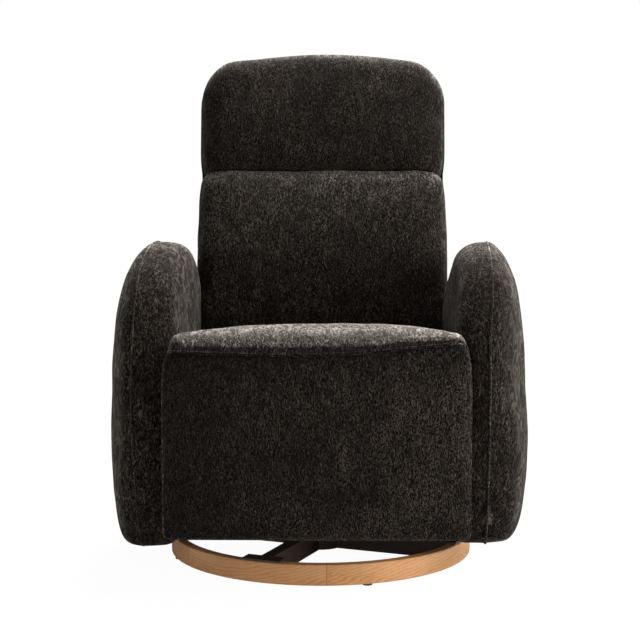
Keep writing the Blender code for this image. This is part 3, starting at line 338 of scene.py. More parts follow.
class Face:
    """Net of points over an outline, without a pole: place, scale and distance of each."""

    def __init__(self, outline, centre, rings, gather=1.9):
        sides = sides_of(outline)
        centre = np.asarray(centre, float)
        width = 2 * rings + 1
        self.width = width
        self.flat = np.zeros((width * width, 2))
        self.scale = np.zeros(width * width)
        for ring in range(rings + 1):
            scale = 1 - (1 - ring / rings) ** gather
            if ring == 0:
                middle = rings * width + rings
                self.flat[middle] = centre
                continue
            for side, way in enumerate(((1, 0), (0, 1), (-1, 0), (0, -1))):
                line = resampled(sides[side], 2 * ring)
                start = ((-1, -1), (1, -1), (1, 1), (-1, 1))[side]
                for step in range(2 * ring):
                    column = rings + start[0] * ring + way[0] * step
                    row = rings + start[1] * ring + way[1] * step
                    spot = row * width + column
                    self.flat[spot] = centre + (line[step] - centre) * scale
                    self.scale[spot] = scale
        self.outline = np.concatenate([side[:-1] for side in sides])
        self.distance = self.measure()

    def measure(self, counts=None):
        """Distance of each point to the stretches of the outline whose middle counts."""
        outline = self.outline
        along = np.roll(outline, -1, axis=0) - outline
        lengths = np.maximum(np.linalg.norm(along, axis=1), 1e-9)
        best = np.full(len(self.flat), 1e9)
        for index in range(len(outline)):
            if counts and not counts(*(outline[index] + along[index] / 2)):
                continue
            away = self.flat - outline[index]
            share = np.clip((away @ along[index]) / lengths[index] ** 2, 0, 1)
            best = np.minimum(best, np.linalg.norm(away - share[:, None] * along[index], axis=1))
        return best

    def quads(self, start=0):
        return net(self.width, self.width, start)

    def border(self):
        """Numbers of the points on the outline, in order."""
        width = self.width
        last = width - 1
        ring = [(0, step) for step in range(last)] + [(step, last) for step in range(last)]
        ring += [(last, last - step) for step in range(last)] + [(last - step, 0) for step in range(last)]
        return [row * width + column for row, column in ring]


def rounded_edge(distance, width, depth, power=2.0):
    """Height of a rounded edge at a distance from the outline."""
    share = np.clip(distance / width, 0, 1)
    return depth * (1 - (1 - share) ** power) ** (1 / power)


def ripple(spots, scale, seed):
    """Smooth noise from -1 to 1 at each place."""
    shift = Vector((seed * 7.31, seed * 3.17, seed * 5.77))
    return np.array([noise.noise(Vector(spot) / scale + shift) for spot in spots])


def wall(distance, share, width, power=2.0):
    """Share of the full height: a straight side up to a share, then a rounded edge."""
    return share + (1 - share) * rounded_edge(distance, width, 1.0, power)


def cushion_from(name, face, lay, rise, material):
    """Closed cushion: a net raised over its base, straight sides where its border stands off."""
    border = face.border()
    top = lay(face.flat, rise)
    foot = lay(face.flat[border], np.zeros(len(border)))
    start, count = len(top), len(border)
    faces = face.quads()
    for step in range(count):
        after = (step + 1) % count
        faces.append((border[step], start + step, start + after, border[after]))
    faces.append(tuple(range(start, start + count)))
    return piece_from(name, np.concatenate((top, foot)), faces, material, weld=True)


@contextmanager
def opened(mesh):
    """The mesh open for edits, which are written back at the end."""
    made = bmesh.new()
    made.from_mesh(mesh)
    yield made
    made.to_mesh(mesh)
    made.free()


def finish_faces(mesh):
    """Normals outward and smooth shading up to hard edges."""
    with opened(mesh) as made:
        bmesh.ops.recalc_face_normals(made, faces=made.faces)
    mesh.shade_smooth()
    mesh.set_sharp_from_angle(angle=HARD_EDGE)


def piece_from(name, points, faces, material, weld=False):
    """Object of points and faces, with smooth shading."""
    mesh = bpy.data.meshes.new(name)
    mesh.from_pydata([tuple(point) for point in points], [], faces)
    if weld:
        with opened(mesh) as made:
            bmesh.ops.remove_doubles(made, verts=made.verts, dist=1e-5)
    finish_faces(mesh)
    mesh.materials.append(material)
    piece = bpy.data.objects.new(name, mesh)
    bpy.context.scene.collection.objects.link(piece)
    return piece


def push(piece, offsets):
    """Move each point of a piece along its normal."""
    set_points(piece, points_of(piece) + points_of(piece, "normal") * offsets[:, None])


def points_of(piece, kind="co"):
    """Places or normals of the points of a piece."""
    spots = np.zeros(len(piece.data.vertices) * 3)
    piece.data.vertices.foreach_get(kind, spots)
    return spots.reshape(-1, 3)


def set_points(piece, spots):
    piece.data.vertices.foreach_set("co", spots.reshape(-1))
    piece.data.update()


def soften(piece, height, scale, seed):
    """Soft unevenness of the padding, in two sizes."""
    spots = points_of(piece)
    uneven = ripple(spots, scale, seed) + 0.45 * ripple(spots, scale * 0.4, seed + 1)
    push(piece, uneven * height)


def swell(piece, sewn, cap, share):
    """Let the cover swell over its filling as cloth, held where it is sewn, and keep that form.

    Share is how much of the swelling stays, and no point moves farther than the cap. Faces wider
    than the net are filled anew after the subdivision.
    """
    before = points_of(piece)
    held = piece.vertex_groups.new(name="sewn")
    held.add([int(index) for index in np.flatnonzero(sewn(before))], 1.0, "REPLACE")
    cloth = piece.modifiers.new("swell", "CLOTH")
    cloth.settings.vertex_group_mass = held.name
    cloth.settings.use_pressure = True
    cloth.settings.uniform_pressure_force = CLOTH_PRESSURE
    cloth.settings.effector_weights.gravity = 0
    cloth.point_cache.frame_start = 1
    cloth.point_cache.frame_end = CLOTH_FRAMES
    for number in range(1, CLOTH_FRAMES + 1):
        bpy.context.scene.frame_set(number)
    shaped = piece.evaluated_get(bpy.context.evaluated_depsgraph_get())
    after = points_of(shaped)
    piece.modifiers.remove(cloth)
    piece.vertex_groups.remove(held)
    bpy.context.scene.frame_set(1)
    moved = (after - before) * share
    far = np.linalg.norm(moved, axis=1)
    moved *= np.minimum(1, cap / np.maximum(far, 1e-9))[:, None]
    set_points(piece, before + moved)
    with opened(piece.data) as made:
        wide = [face for face in made.faces if len(face.verts) > 8]
        bmesh.ops.delete(made, geom=wide, context="FACES_ONLY")
    rounded = piece.modifiers.new("rounded", "SUBSURF")
    rounded.levels = 1
    shaped = piece.evaluated_get(bpy.context.evaluated_depsgraph_get())
    mesh = bpy.data.meshes.new_from_object(shaped)
    piece.modifiers.clear()
    piece.data = mesh
    mesh.name = piece.name
    with opened(mesh) as made:
        bmesh.ops.holes_fill(made, edges=[edge for edge in made.edges if edge.is_boundary], sides=0)
    finish_faces(mesh)


def pucker(piece, path, height, spacing, reach, seed, closed=True):
    """Small folds that run out from a seam and fade away from it."""
    spots = points_of(piece)
    path = np.asarray(path, float)
    if closed:
        path = np.concatenate((path, path[:1]))
    best = np.full(len(spots), 1e9)
    turn = np.zeros(len(spots))
    start = 0.0
    for here, there in zip(path[:-1], path[1:]):
        step = there - here
        length = max(float(np.linalg.norm(step)), 1e-9)
        share = np.clip((spots - here) @ step / length**2, 0, 1)
        gap = np.linalg.norm(spots - here - share[:, None] * step, axis=1)
        nearer = gap < best
        best[nearer] = gap[nearer]
        turn[nearer] = start + share[nearer] * length
        start += length
    places = np.stack([turn / spacing, best / (spacing * 5), np.full(len(spots), seed)], 1)
    push(piece, ripple(places, 1.0, seed) * np.exp(-best / reach) * height)


def placed(origin, up, out, flat, rise):
    """Places in the world of points on a face whose first axis is X."""
    origin, up, out = (np.array(way, float) for way in (origin, up, out))
    return origin + flat[:, :1] * np.array((1.0, 0, 0)) + flat[:, 1:] * up + rise[:, None] * out


def cord(name, path, radius, material):
    """Round cord along a closed path, as a mesh."""
    path = np.asarray(path, float)
    count = len(path)
    ahead = np.roll(path, -1, axis=0) - np.roll(path, 1, axis=0)
    ahead /= np.linalg.norm(ahead, axis=1)[:, None]
    first = np.cross(ahead, (1.0, 0.0, 0.0))
    small = np.linalg.norm(first, axis=1) < 1e-4
    first[small] = np.cross(ahead[small], (0.0, 0.3, 0.95))
    first /= np.linalg.norm(first, axis=1)[:, None]
    second = np.cross(first, ahead)
    points, faces = [], []
    for index in range(count):
        here, there = index * CORD_SIDES, (index + 1) % count * CORD_SIDES
        for side in range(CORD_SIDES):
            turn = 2 * math.pi * side / CORD_SIDES
            spread = first[index] * math.cos(turn) + second[index] * math.sin(turn)
            points.append(path[index] + spread * radius)
            after = (side + 1) % CORD_SIDES
            faces.append((here + side, here + after, there + after, there + side))
    return piece_from(name, points, faces, material)


def dress(piece, body, *nodes, fill=None):
    """Bind a soft piece to its body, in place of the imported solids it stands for."""
    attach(piece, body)
    if nodes:
        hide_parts(*nodes)


# Materials


class Recipe:
    """Shader nodes of one material, added in order."""

    def __init__(self, name):
        self.material = bpy.data.materials.new(name)
        self.material.use_nodes = True
        self.nodes = self.material.node_tree.nodes
        self.links = self.material.node_tree.links
        self.shader = self.nodes["Principled BSDF"]

    def node(self, kind, settings=(), **sockets):
        made = self.nodes.new("ShaderNode" + kind)
        for key, value in dict(settings).items():
            setattr(made, key, value)
        for key, value in sockets.items():
            self.plug(made.inputs[int(key[1:]) if key in ("i0", "i1") else key], value)
        return made

    def plug(self, socket, value):
        if isinstance(value, bpy.types.NodeSocket):
            self.links.new(value, socket)
        elif isinstance(value, bpy.types.Node):
            self.links.new(value.outputs[0], socket)
        else:
            socket.default_value = value

    def math(self, operation, first, second=0.5):
        return self.node("Math", {"operation": operation}, i0=first, i1=second)

    def plus(self, first, second):
        return self.math("ADD", first, second)

    def times(self, first, second):
        return self.math("MULTIPLY", first, second)

    def minus(self, first, second):
        return self.math("SUBTRACT", first, second)

    def off_middle(self, value):
        return self.math("ABSOLUTE", self.minus(value, 0.5))

    def vector(self, operation, first, second=(0, 0, 0)):
        return self.node("VectorMath", {"operation": operation}, i0=first, i1=second)

    def scaled(self, place, scales):
        return self.vector("MULTIPLY", place, scales)

    def object_place(self):
        return self.node("TexCoord").outputs["Object"]

    def grain(self, place, scale=1.0, detail=2.0, roughness=0.5, distortion=0.0):
        sizes = {"Scale": scale, "Detail": detail, "Roughness": roughness, "Distortion": distortion}
        return self.node("TexNoise", Vector=place, **sizes).outputs[0]

    def streaks(self, place, scales, *sizes):
        """Noise drawn out along the axes by unequal scales."""
        return self.grain(self.scaled(place, scales), 1.0, *sizes)

    def span(self, value, low, high, to_low=0.0, to_high=1.0, smooth=False):
        kind = "SMOOTHSTEP" if smooth else "LINEAR"
        made = self.node("MapRange", {"interpolation_type": kind})
        for socket, given in zip(made.inputs, (value, low, high, to_low, to_high)):
            self.plug(socket, given)
        return made.outputs[0]

    def mix(self, share, first, second, blend="MIX"):
        made = self.node("Mix", {"data_type": "RGBA", "blend_type": blend})
        self.plug(made.inputs[0], share)
        for socket, given in ((made.inputs[6], first), (made.inputs[7], second)):
            self.plug(socket, (*given, 1) if isinstance(given, tuple) and len(given) == 3 else given)
        return made.outputs[2]

    def finish(self, colour, roughness, bump=None, strength=0.5, distance=0.001, **constants):
        self.plug(self.shader.inputs["Base Color"], colour)
        self.plug(self.shader.inputs["Roughness"], roughness)
        if bump is not None:
            relief = self.node("Bump", Strength=strength, Distance=distance, Height=bump)
            self.plug(self.shader.inputs["Normal"], relief)
        for key, value in constants.items():
            self.shader.inputs[key.replace("_", " ")].default_value = value
        return self.material


def chenille(name):
    """Crushed chenille: crinkled bright ridges over dark yarn, in uneven patches.

    Where the cover is seen flat, only the broad streaks of the nap show. Light is painted in too: a painted
    sheen where the cover is seen at a grazing angle, painted top light on faces turned up, a painted
    gradient of light and shade from the sitter's right to left, and a shade per cover that makes lit and
    shaded copies of the one cloth.
    """
    found = bpy.data.materials.get(name)
    if found:
        return found
    cover = bpy.context.scene.glider_cover
    seed, shade, painted_top_light, painted_side_light, size = COVERS[name]
    made = Recipe(name)
    coords = made.node("TexCoord").outputs
    place = made.vector("ADD", coords["Object"], (seed, seed * 2, seed * 3))
    across = made.node("SeparateXYZ", Vector=coords["Object"])
    up = made.node("SeparateXYZ", Vector=coords["Normal"]).outputs[2]
    width, length = cover.tuft_width * size, cover.tuft_length * size
    spot = made.scaled(place, (1 / width, 1 / (length * 1.2), 1 / length))
    worm = made.grain(spot, 0.62, 1.0, 0.5, 1.6)
    ridge = made.span(made.off_middle(worm), 0.0, 0.055, 1.0, 0.0)
    fleck = made.span(made.grain(spot, 1.25, 1.0, 0.6, 0.8), 0.53, 0.72)
    pile = made.plus(made.times(ridge, 0.50), made.times(fleck, 0.62))
    facing = made.node("LayerWeight", Blend=0.5).outputs["Facing"]
    wave = made.streaks(place, (90 / size, 22, 26), 1.5, 0.6, 1.4)
    broad = made.span(made.off_middle(wave), 0.0, 0.085, 0.94, 0.14)
    blend = made.node("Mix", {"data_type": "FLOAT"})
    level = made.span(facing, 0.40, 0.80, 0.0, 0.8, smooth=True)
    for socket, given in zip((0, 2, 3), (level, pile, broad)):
        made.plug(blend.inputs[socket], given)
    pile = blend.outputs[0]
    streak = made.streaks(place, (90, 60, 16), 2.0, 0.6, 0.7)
    patch = made.grain(place, 1 / 0.10, 3.0, 0.62, 0.8)
    light = made.times(pile, made.span(streak, 0.30, 0.70, 0.62, 1.32))
    light = made.times(light, made.span(patch, 0.34, 0.68, 0.55, 1.50))
    # Painted light and shade: the tufts are graded across the chair from the sitter's right to the sitter's
    # left, by the cover's side-light pair.
    light = made.times(light, made.span(across, -0.27, 0.27, *painted_side_light))
    # Painted light and shade: the cover's shade makes a lighter or darker copy of the one cloth for each
    # part.
    dark = tuple(value * shade for value in cover.yarn_dark)
    pale = tuple(value * shade for value in cover.yarn_light)
    colour = made.mix(made.math("MINIMUM", light, 1.0), dark, pale)
    # Painted sheen: the colour is brightened and turned paler where the cover is seen at a grazing angle,
    # most on faces turned up.
    painted_sheen = made.plus(0.9, made.times(made.math("MAXIMUM", up, 0.0), cover.painted_sheen_strength))
    lift = made.vector("SCALE", (1.0, 1.13, 1.22))
    painted_sheen = made.times(made.math("POWER", facing, 3.0), painted_sheen)
    # Painted top light: faces turned up are brightened by the cover's top-light share.
    top = made.span(up, 0.20, 0.80, 0.0, painted_top_light, smooth=True)
    made.plug(lift.inputs["Scale"], made.plus(painted_sheen, top))
    colour = made.scaled(colour, made.vector("ADD", lift, (1, 1, 1)))
    relief = made.plus(pile, made.times(streak, 0.9))
    sheen = {"Sheen_Weight": 0.02, "Sheen_Roughness": 0.35, "Sheen_Tint": (0.86, 0.80, 0.72, 1)}
    return made.finish(colour, 0.92, relief, 0.85, 0.0022, **sheen, Specular_IOR_Level=0.03)


def ring_timber():
    """Oiled hardwood bent round the ring in glued segments, with cathedral figure."""
    wood = bpy.context.scene.glider_wood
    made = Recipe("ring_timber")
    place = made.object_place()
    x, y, z = made.node("SeparateXYZ", Vector=place).outputs
    turn = made.math("ARCTAN2", y, x)
    share = made.times(made.plus(turn, math.radians(87.2)), wood.segments / (2 * math.pi))
    number = made.math("FLOOR", share)
    local = made.minus(share, number)
    length = 2 * math.pi * RING_RADIUS / wood.segments
    along = made.times(made.minus(local, 0.5), length)
    radius = made.vector("LENGTH", made.scaled(place, (1, 1, 0))).outputs[1]
    inward = made.minus(radius, RING_RADIUS)
    spot = made.node("CombineXYZ", X=along, Y=inward, Z=z)
    shift = made.node("CombineXYZ", X=number, Y=made.times(number, 0.37), Z=0.0)
    shifted = made.vector("ADD", spot, shift)
    pick = made.node("TexWhiteNoise", {"noise_dimensions": "1D"}, W=number)
    bow = made.span(pick.outputs[0], 0.0, 1.0, -1.3, 1.6)
    green = made.node("SeparateColor", Color=pick.outputs[1]).outputs[1]
    slant = made.span(green, 0, 1, -0.32, 0.32)
    arch = made.times(made.times(along, along), bow)
    wander = made.streaks(shifted, (9, 30, 30), 2.0, 0.5, 0.4)
    field = made.plus(made.plus(z, arch), made.plus(made.times(along, slant), made.times(wander, 0.021)))
    field = made.plus(field, made.times(inward, 0.8))
    years = made.math("FRACT", made.times(field, 150.0))
    ring = made.times(made.span(years, 0.35, 0.95), made.span(years, 0.95, 1.0, 1.0, 0.0))
    fibres = made.streaks(shifted, (45, 900, 900), 2.0, 0.6)
    pores = made.span(made.streaks(shifted, (90, 1500, 1500), 1.0), 0.60, 0.72)
    tone = made.streaks(shifted, (5, 20, 20))
    colour = made.mix(made.times(ring, 0.62), tuple(wood.early_wood), tuple(wood.late_wood))
    colour = made.mix(made.span(fibres, 0.35, 0.7, 0.0, 0.4), colour, tuple(wood.late_wood))
    colour = made.mix(made.times(pores, 0.45), colour, (0.07, 0.03, 0.015))
    colour = made.mix(made.span(tone, 0.35, 0.7, 0.0, 0.55), colour, (0.54, 0.325, 0.165))
    seam = made.math("MINIMUM", local, made.minus(1.0, local))
    joint = made.span(made.times(seam, length), 0.0, 0.0009, 0.75, 0.0)
    colour = made.mix(joint, colour, (0.03, 0.014, 0.008))
    relief = made.minus(fibres, made.plus(pores, joint))
    rough = made.span(fibres, 0.3, 0.7, 0.42, 0.58)
    return made.finish(colour, rough, relief, 0.25, 0.0004, Specular_IOR_Level=0.4)


def painted_steel(name, colour, gloss):
    """Powder coat with a fine orange peel and rubbed spots."""
    made = Recipe(name)
    place = made.object_place()
    peel = made.grain(place, 700)
    cloud = made.grain(place, 14, 3.0, 0.6)
    worn = tuple(min(1.0, value * 1.9 + 0.01) for value in colour)
    shade = made.mix(made.span(cloud, 0.45, 0.75, 0.0, 0.55), colour, worn)
    rough = made.span(cloud, 0.3, 0.7, gloss - 0.08, gloss + 0.12)
    return made.finish(shade, rough, peel, 0.25, 0.0003, Metallic=0.0, Specular_IOR_Level=0.5)


def zinc_steel():
    """Passivated zinc: grey with a faint yellow cloud and rolling lines."""
    made = Recipe("zinc_plate")
    place = made.object_place()
    cloud = made.grain(place, 26, 3.0, 0.6, 0.5)
    lines = made.streaks(place, (300, 60, 900))
    shade = made.mix(made.span(cloud, 0.35, 0.7), (0.46, 0.46, 0.47), (0.58, 0.54, 0.44))
    rough = made.span(lines, 0.3, 0.7, 0.28, 0.46)
    return made.finish(shade, rough, lines, 0.12, 0.0002, Metallic=1.0)


def plywood(name, layers):
    """Birch ply: long grain on its faces and alternating layers on its edges."""
    made = Recipe(name)
    place = made.object_place()
    through = made.vector("DOT_PRODUCT", place, tuple(layers)).outputs[1]
    band = made.math("SINE", made.times(through, 2 * math.pi / 0.003))
    figure = made.streaks(place, (60, 60, 7), 3.0, 0.55, 1.2)
    fibre = made.streaks(place, (700, 700, 40), 2.0, 0.6)
    shade = made.mix(made.span(figure, 0.3, 0.7), (0.56, 0.40, 0.24), (0.42, 0.27, 0.14))
    shade = made.mix(made.span(fibre, 0.45, 0.8, 0.0, 0.35), shade, (0.26, 0.15, 0.07))
    shade = made.mix(made.span(band, 0.2, 0.8, 0.0, 0.35), shade, (0.27, 0.16, 0.08))
    return made.finish(shade, 0.68, fibre, 0.2, 0.0004)


def felt(name, colour):
    """Short matted fibres."""
    made = Recipe(name)
    place = made.object_place()
    fluff = made.grain(place, 1100, 3.0, 0.7, 0.6)
    shade = made.mix(made.span(fluff, 0.35, 0.7), colour, tuple(value * 2.2 for value in colour))
    return made.finish(shade, 0.95, fluff, 0.6, 0.0006, Sheen_Weight=0.2)


def paint_nodes(material, *names):
    """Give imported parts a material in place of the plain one."""
    for name in names:
        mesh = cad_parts[name].data
        mesh.materials.clear()
        mesh.materials.append(material)


# Arms


def arm_outline():
    """Side view of an arm."""
    keys = [(ARM_LOW.x + a * ARM_SIZE.x, ARM_LOW.y + b * ARM_SIZE.y) for a, b in ARM_OUTLINE_SHARES]
    return smooth_loop(keys, 8)


def arm_held(spots, path):
    """Points of an arm that stay put: its seam and the flat side against the seat."""
    gaps = np.linalg.norm(spots[:, None] - path[None], axis=2).min(1)
    return (gaps < 1e-4) | (np.abs(spots[:, 0]) < ARM_FLAT_X)


def build_arm(side, label, cover, material):
    """One arm: a boxing half towards the seat and a domed outer half, sewn along one seam.

    The foot of the sitter's left arm is squarer than that of the right one, and both seams lie
    towards the sitter's right at the front.
    """
    outline = arm_outline()
    centre = [ARM_LOW[axis] + ARM_SIZE[axis] * ARM_CENTRE_SHARES[axis] for axis in (0, 1)]
    face = Face(outline, centre, rings=32, gather=1.8)
    left = side > 0
    way = np.arctan2(face.flat[:, 1] - centre[1], face.flat[:, 0] - centre[0])
    high = np.maximum(0, np.sin(way)) ** 2
    low = np.maximum(0, -np.sin(way)) ** (1.3 if left else 2)
    fore = np.maximum(0, -np.cos(way))
    fullness = 2.75 - 0.25 * side + 3.0 * low + 0.5 * high
    inner = rounded_edge(face.distance, ARM_EDGE, ARM_EDGE, fullness) + 0.004 * (1 - face.scale**2)
    square = 42 if left else 10
    roundness = 1 / (2.2 + (3.2 + side) * low)
    domed = np.maximum(0, 1 - face.scale ** (3.2 - high + square * low)) ** roundness
    crown = 0.026 * (1 - face.scale ** (2 + (3.5 + 1.5 * side) * low))
    outer = (0.0480 - 0.0017 * side + 0.006 * high) * domed + crown
    height = face.flat[:, 1]
    upper = np.clip((height - 0.46) / 0.10, 0, 1) * left
    lower = np.clip((0.26 - height) / 0.16, 0, 1) * (not left) * (1 - face.scale**6)
    height = height + 0.006 * left * np.clip((0.12 - height) / 0.06, 0, 1)
    seam_x = ARM_SEAM_X - side * cover.arm_seam_drift * fore**0.7 * face.scale**4 + 0.009 * upper
    points = []
    for rise, outward in ((inner, -1), (outer, 1)):
        depth = seam_x + outward * rise - 0.006 * lower * (outward > 0)
        points.append(np.stack([side * depth, face.flat[:, 0], height], 1))
    faces = face.quads() + face.quads(len(face.flat))
    pod = piece_from(f"arm_cover_{label}", np.concatenate(points), faces, material, weld=True)
    border = face.border()
    path = np.stack([side * seam_x[border], face.flat[border][:, 0], height[border]], 1)
    swell(pod, lambda spots: arm_held(spots, path), cap=0.005, share=0.22)
    pucker(pod, path, cover.pucker, spacing=0.011, reach=0.016, seed=3.0 + side)
    soften(pod, cover.lump, scale=0.13, seed=5.0 + side)
    seam = cord(f"arm_seam_{label}", path, cover.seam_radius, chenille("cover_piping"))
    dress(pod, "seat", f"arm_inner_{label}", f"arm_outer_{label}", fill=0.9)
    dress(seam, "seat")


class GLIDER_OT_arms(bpy.types.Operator):
    """Cover both arms: a flat boxing half, a domed outer half and the seam between them"""

    bl_idname = "glider.arms"
    bl_label = "Cover the arms"

    def execute(self, context):
        cover = context.scene.glider_cover
        for side, label in SIDES:
            build_arm(side, label, cover, chenille("cover_arms"))
        return {"FINISHED"}


# Back


UPPER_CORNERS = [(BACK_SHOULDER + 0.003, BACK_TOP - 0.024, 0.084, 0.074), (0.050, BACK_TOP, 0.050)]
LUMBAR_SHAPE = [
    (0.2170, -0.084, 0.010), (0.2170, -0.050, 0.010), (BACK_NARROW + 0.004, -0.050, 0.010),
    (BACK_NARROW + 0.004, 0.022, 0.020), (BACK_WIDE + 0.002, 0.060, 0.018),
    (BACK_WIDE + 0.002, 0.150, 0.040), (BACK_SHOULDER + 0.002, 0.265, 0.016),
    (BACK_SHOULDER - 0.005, BACK_SEAM - 0.0007, 0.014, 0.005),
]
HEAD_SHAPE = [
    (BACK_SHOULDER - 0.006, BACK_SEAM + 0.0007, 0.005, 0.020), (BACK_SHOULDER + 0.001, 0.340, 0.020),
    *UPPER_CORNERS,
]
SHELL_SHAPE = [
    (BACK_NARROW, -0.048, 0.018), (BACK_NARROW, 0.030, 0.018), (BACK_WIDE, 0.065, 0.018),
    (BACK_SHOULDER + 0.001, 0.265, 0.016), (BACK_SHOULDER - 0.005, BACK_SEAM, 0.016),
    (BACK_SHOULDER + 0.001, 0.340, 0.020), *UPPER_CORNERS,
]

# Depth, crown, width of the free edges, share of the depth at the seam, reach of the rounding there
LUMBAR_SIZES = (0.080, 0.014, 0.046, 0.80, 0.034)
HEAD_SIZES = (0.080, 0.022, 0.058, 0.84, 0.022)

# Name, outline, middle, sizes, cover and seed
BACK_CUSHIONS = (
    ("lumbar", LUMBAR_SHAPE, (0, 0.106), LUMBAR_SIZES, "cover_lumbar", 11.0),
    ("headrest", HEAD_SHAPE, (0, 0.436), HEAD_SIZES, "cover_back", 15.0),
)


def lay_on_back(flat, rise):
    """Places in the world of points on the front of the back."""
    return placed(BACK_FOOT, BACK_UP, BACK_FORWARD, flat, rise)


def held_on_back(spots):
    """Points of a back cushion that stay put: its rear edge and its sides between the arms."""
    away = spots - np.array(BACK_FOOT)
    up = away @ np.array(BACK_UP)
    return (away @ np.array(BACK_FORWARD) < 0.004) | ((np.abs(spots[:, 0]) > 0.232) & (up < 0.10))


def back_cushion(name, corners, middle, sizes, cover, material, seed):
    """Cushion on the back's frame, pressed against its neighbour along the seam."""
    depth, crown, edge, share, reach = sizes
    face = Face(fillet_polygon(mirrored(corners)), middle, rings=30)
    free = face.measure(lambda a, b: abs(b - BACK_SEAM) > 0.001)
    away = np.abs(face.flat - np.array(middle))
    spread = away / away.max(0)
    dome = (1 - spread[:, 0] ** 2.4) * (1 - 0.75 * spread[:, 1] ** 2.2)
    near = np.abs(face.flat[:, 1] - BACK_SEAM)
    pressed = 0.86 * np.clip((0.075 - face.flat[:, 1]) / 0.05, 0, 1) * (np.abs(face.flat[:, 0]) > 0.2)
    tuck = 1 - 0.40 * np.clip((0.12 - face.flat[:, 1]) / 0.17, 0, 1) ** 1.6
    rise = (depth + crown * dome) * wall(free, pressed, edge, 2.3) * wall(near, share, reach) * tuck
    piece = cushion_from(name, face, lay_on_back, np.maximum(rise, 0), material)
    swell(piece, held_on_back, cap=0.008, share=0.26)
    across = np.linspace(-0.25, 0.25, 60)
    level = np.ones(len(across))
    line = lay_on_back(np.stack([across, level * BACK_SEAM], 1), level * depth * share)
    pucker(piece, line, cover.pucker, spacing=0.013, reach=0.020, seed=seed, closed=False)
    soften(piece, cover.lump, scale=0.12, seed=seed + 9)
    return piece


class GLIDER_OT_back(bpy.types.Operator):
    """Make the lumbar cushion, the headrest and the outer back with its seams"""

    bl_idname = "glider.back"
    bl_label = "Cover the back"

    def execute(self, context):
        cover = context.scene.glider_cover
        material = chenille("cover_back")
        for name, corners, middle, sizes, cloth, seed in BACK_CUSHIONS:
            piece = back_cushion(name, corners, middle, sizes, cover, chenille(cloth), seed)
            dress(piece, "back", f"{name}_cushion", fill=0.8)
        face = Face(fillet_polygon(mirrored(SHELL_SHAPE)), (0, 0.26), rings=36)
        rise = rounded_edge(face.distance, 0.030, 0.070) + 0.027 * (1 - face.scale**2)
        points = lay_on_back(face.flat, -rise - 0.0003)
        shell = piece_from("back_shell", points, face.quads() + [tuple(face.border())], material)
        soften(shell, cover.lump * 0.7, scale=0.16, seed=25.0)
        dress(shell, "back", "outer_back", fill=0.8)
        loop = face.flat[face.border()][::2]
        path = lay_on_back(loop, np.zeros(len(loop)))
        dress(cord("back_seam", path, cover.seam_radius, material), "back")
        return {"FINISHED"}


# Seat


def seam_lift(across, cover):
    """Rise of the front seam towards both sides, most at the sitter's left. It dips in between."""
    left = np.clip((across + 0.03) / 0.26, 0, 1.1) ** 1.5
    right = 0.27 * np.clip((-0.03 - across) / 0.21, 0, 1.1) ** 1.5
    return cover.front_seam_lift * (left + right) - SEAM_DIP


def narrowed(points, cover):
    """Cover pulled in a little over the fronts of the arms, more at the sitter's left."""
    fore = np.clip((-0.36 - points[:, 1]) / 0.03, 0, 1)
    points[:, 0] *= 1 - fore * np.where(points[:, 0] > 0, cover.front_draw, cover.front_draw * 0.35)
    return points


def lay_on_seat(flat, rise):
    """Places in the world of points on the seat."""
    return placed(SEAT_SEAM, SEAT_REARWARD, SEAT_UPWARD, flat, rise)


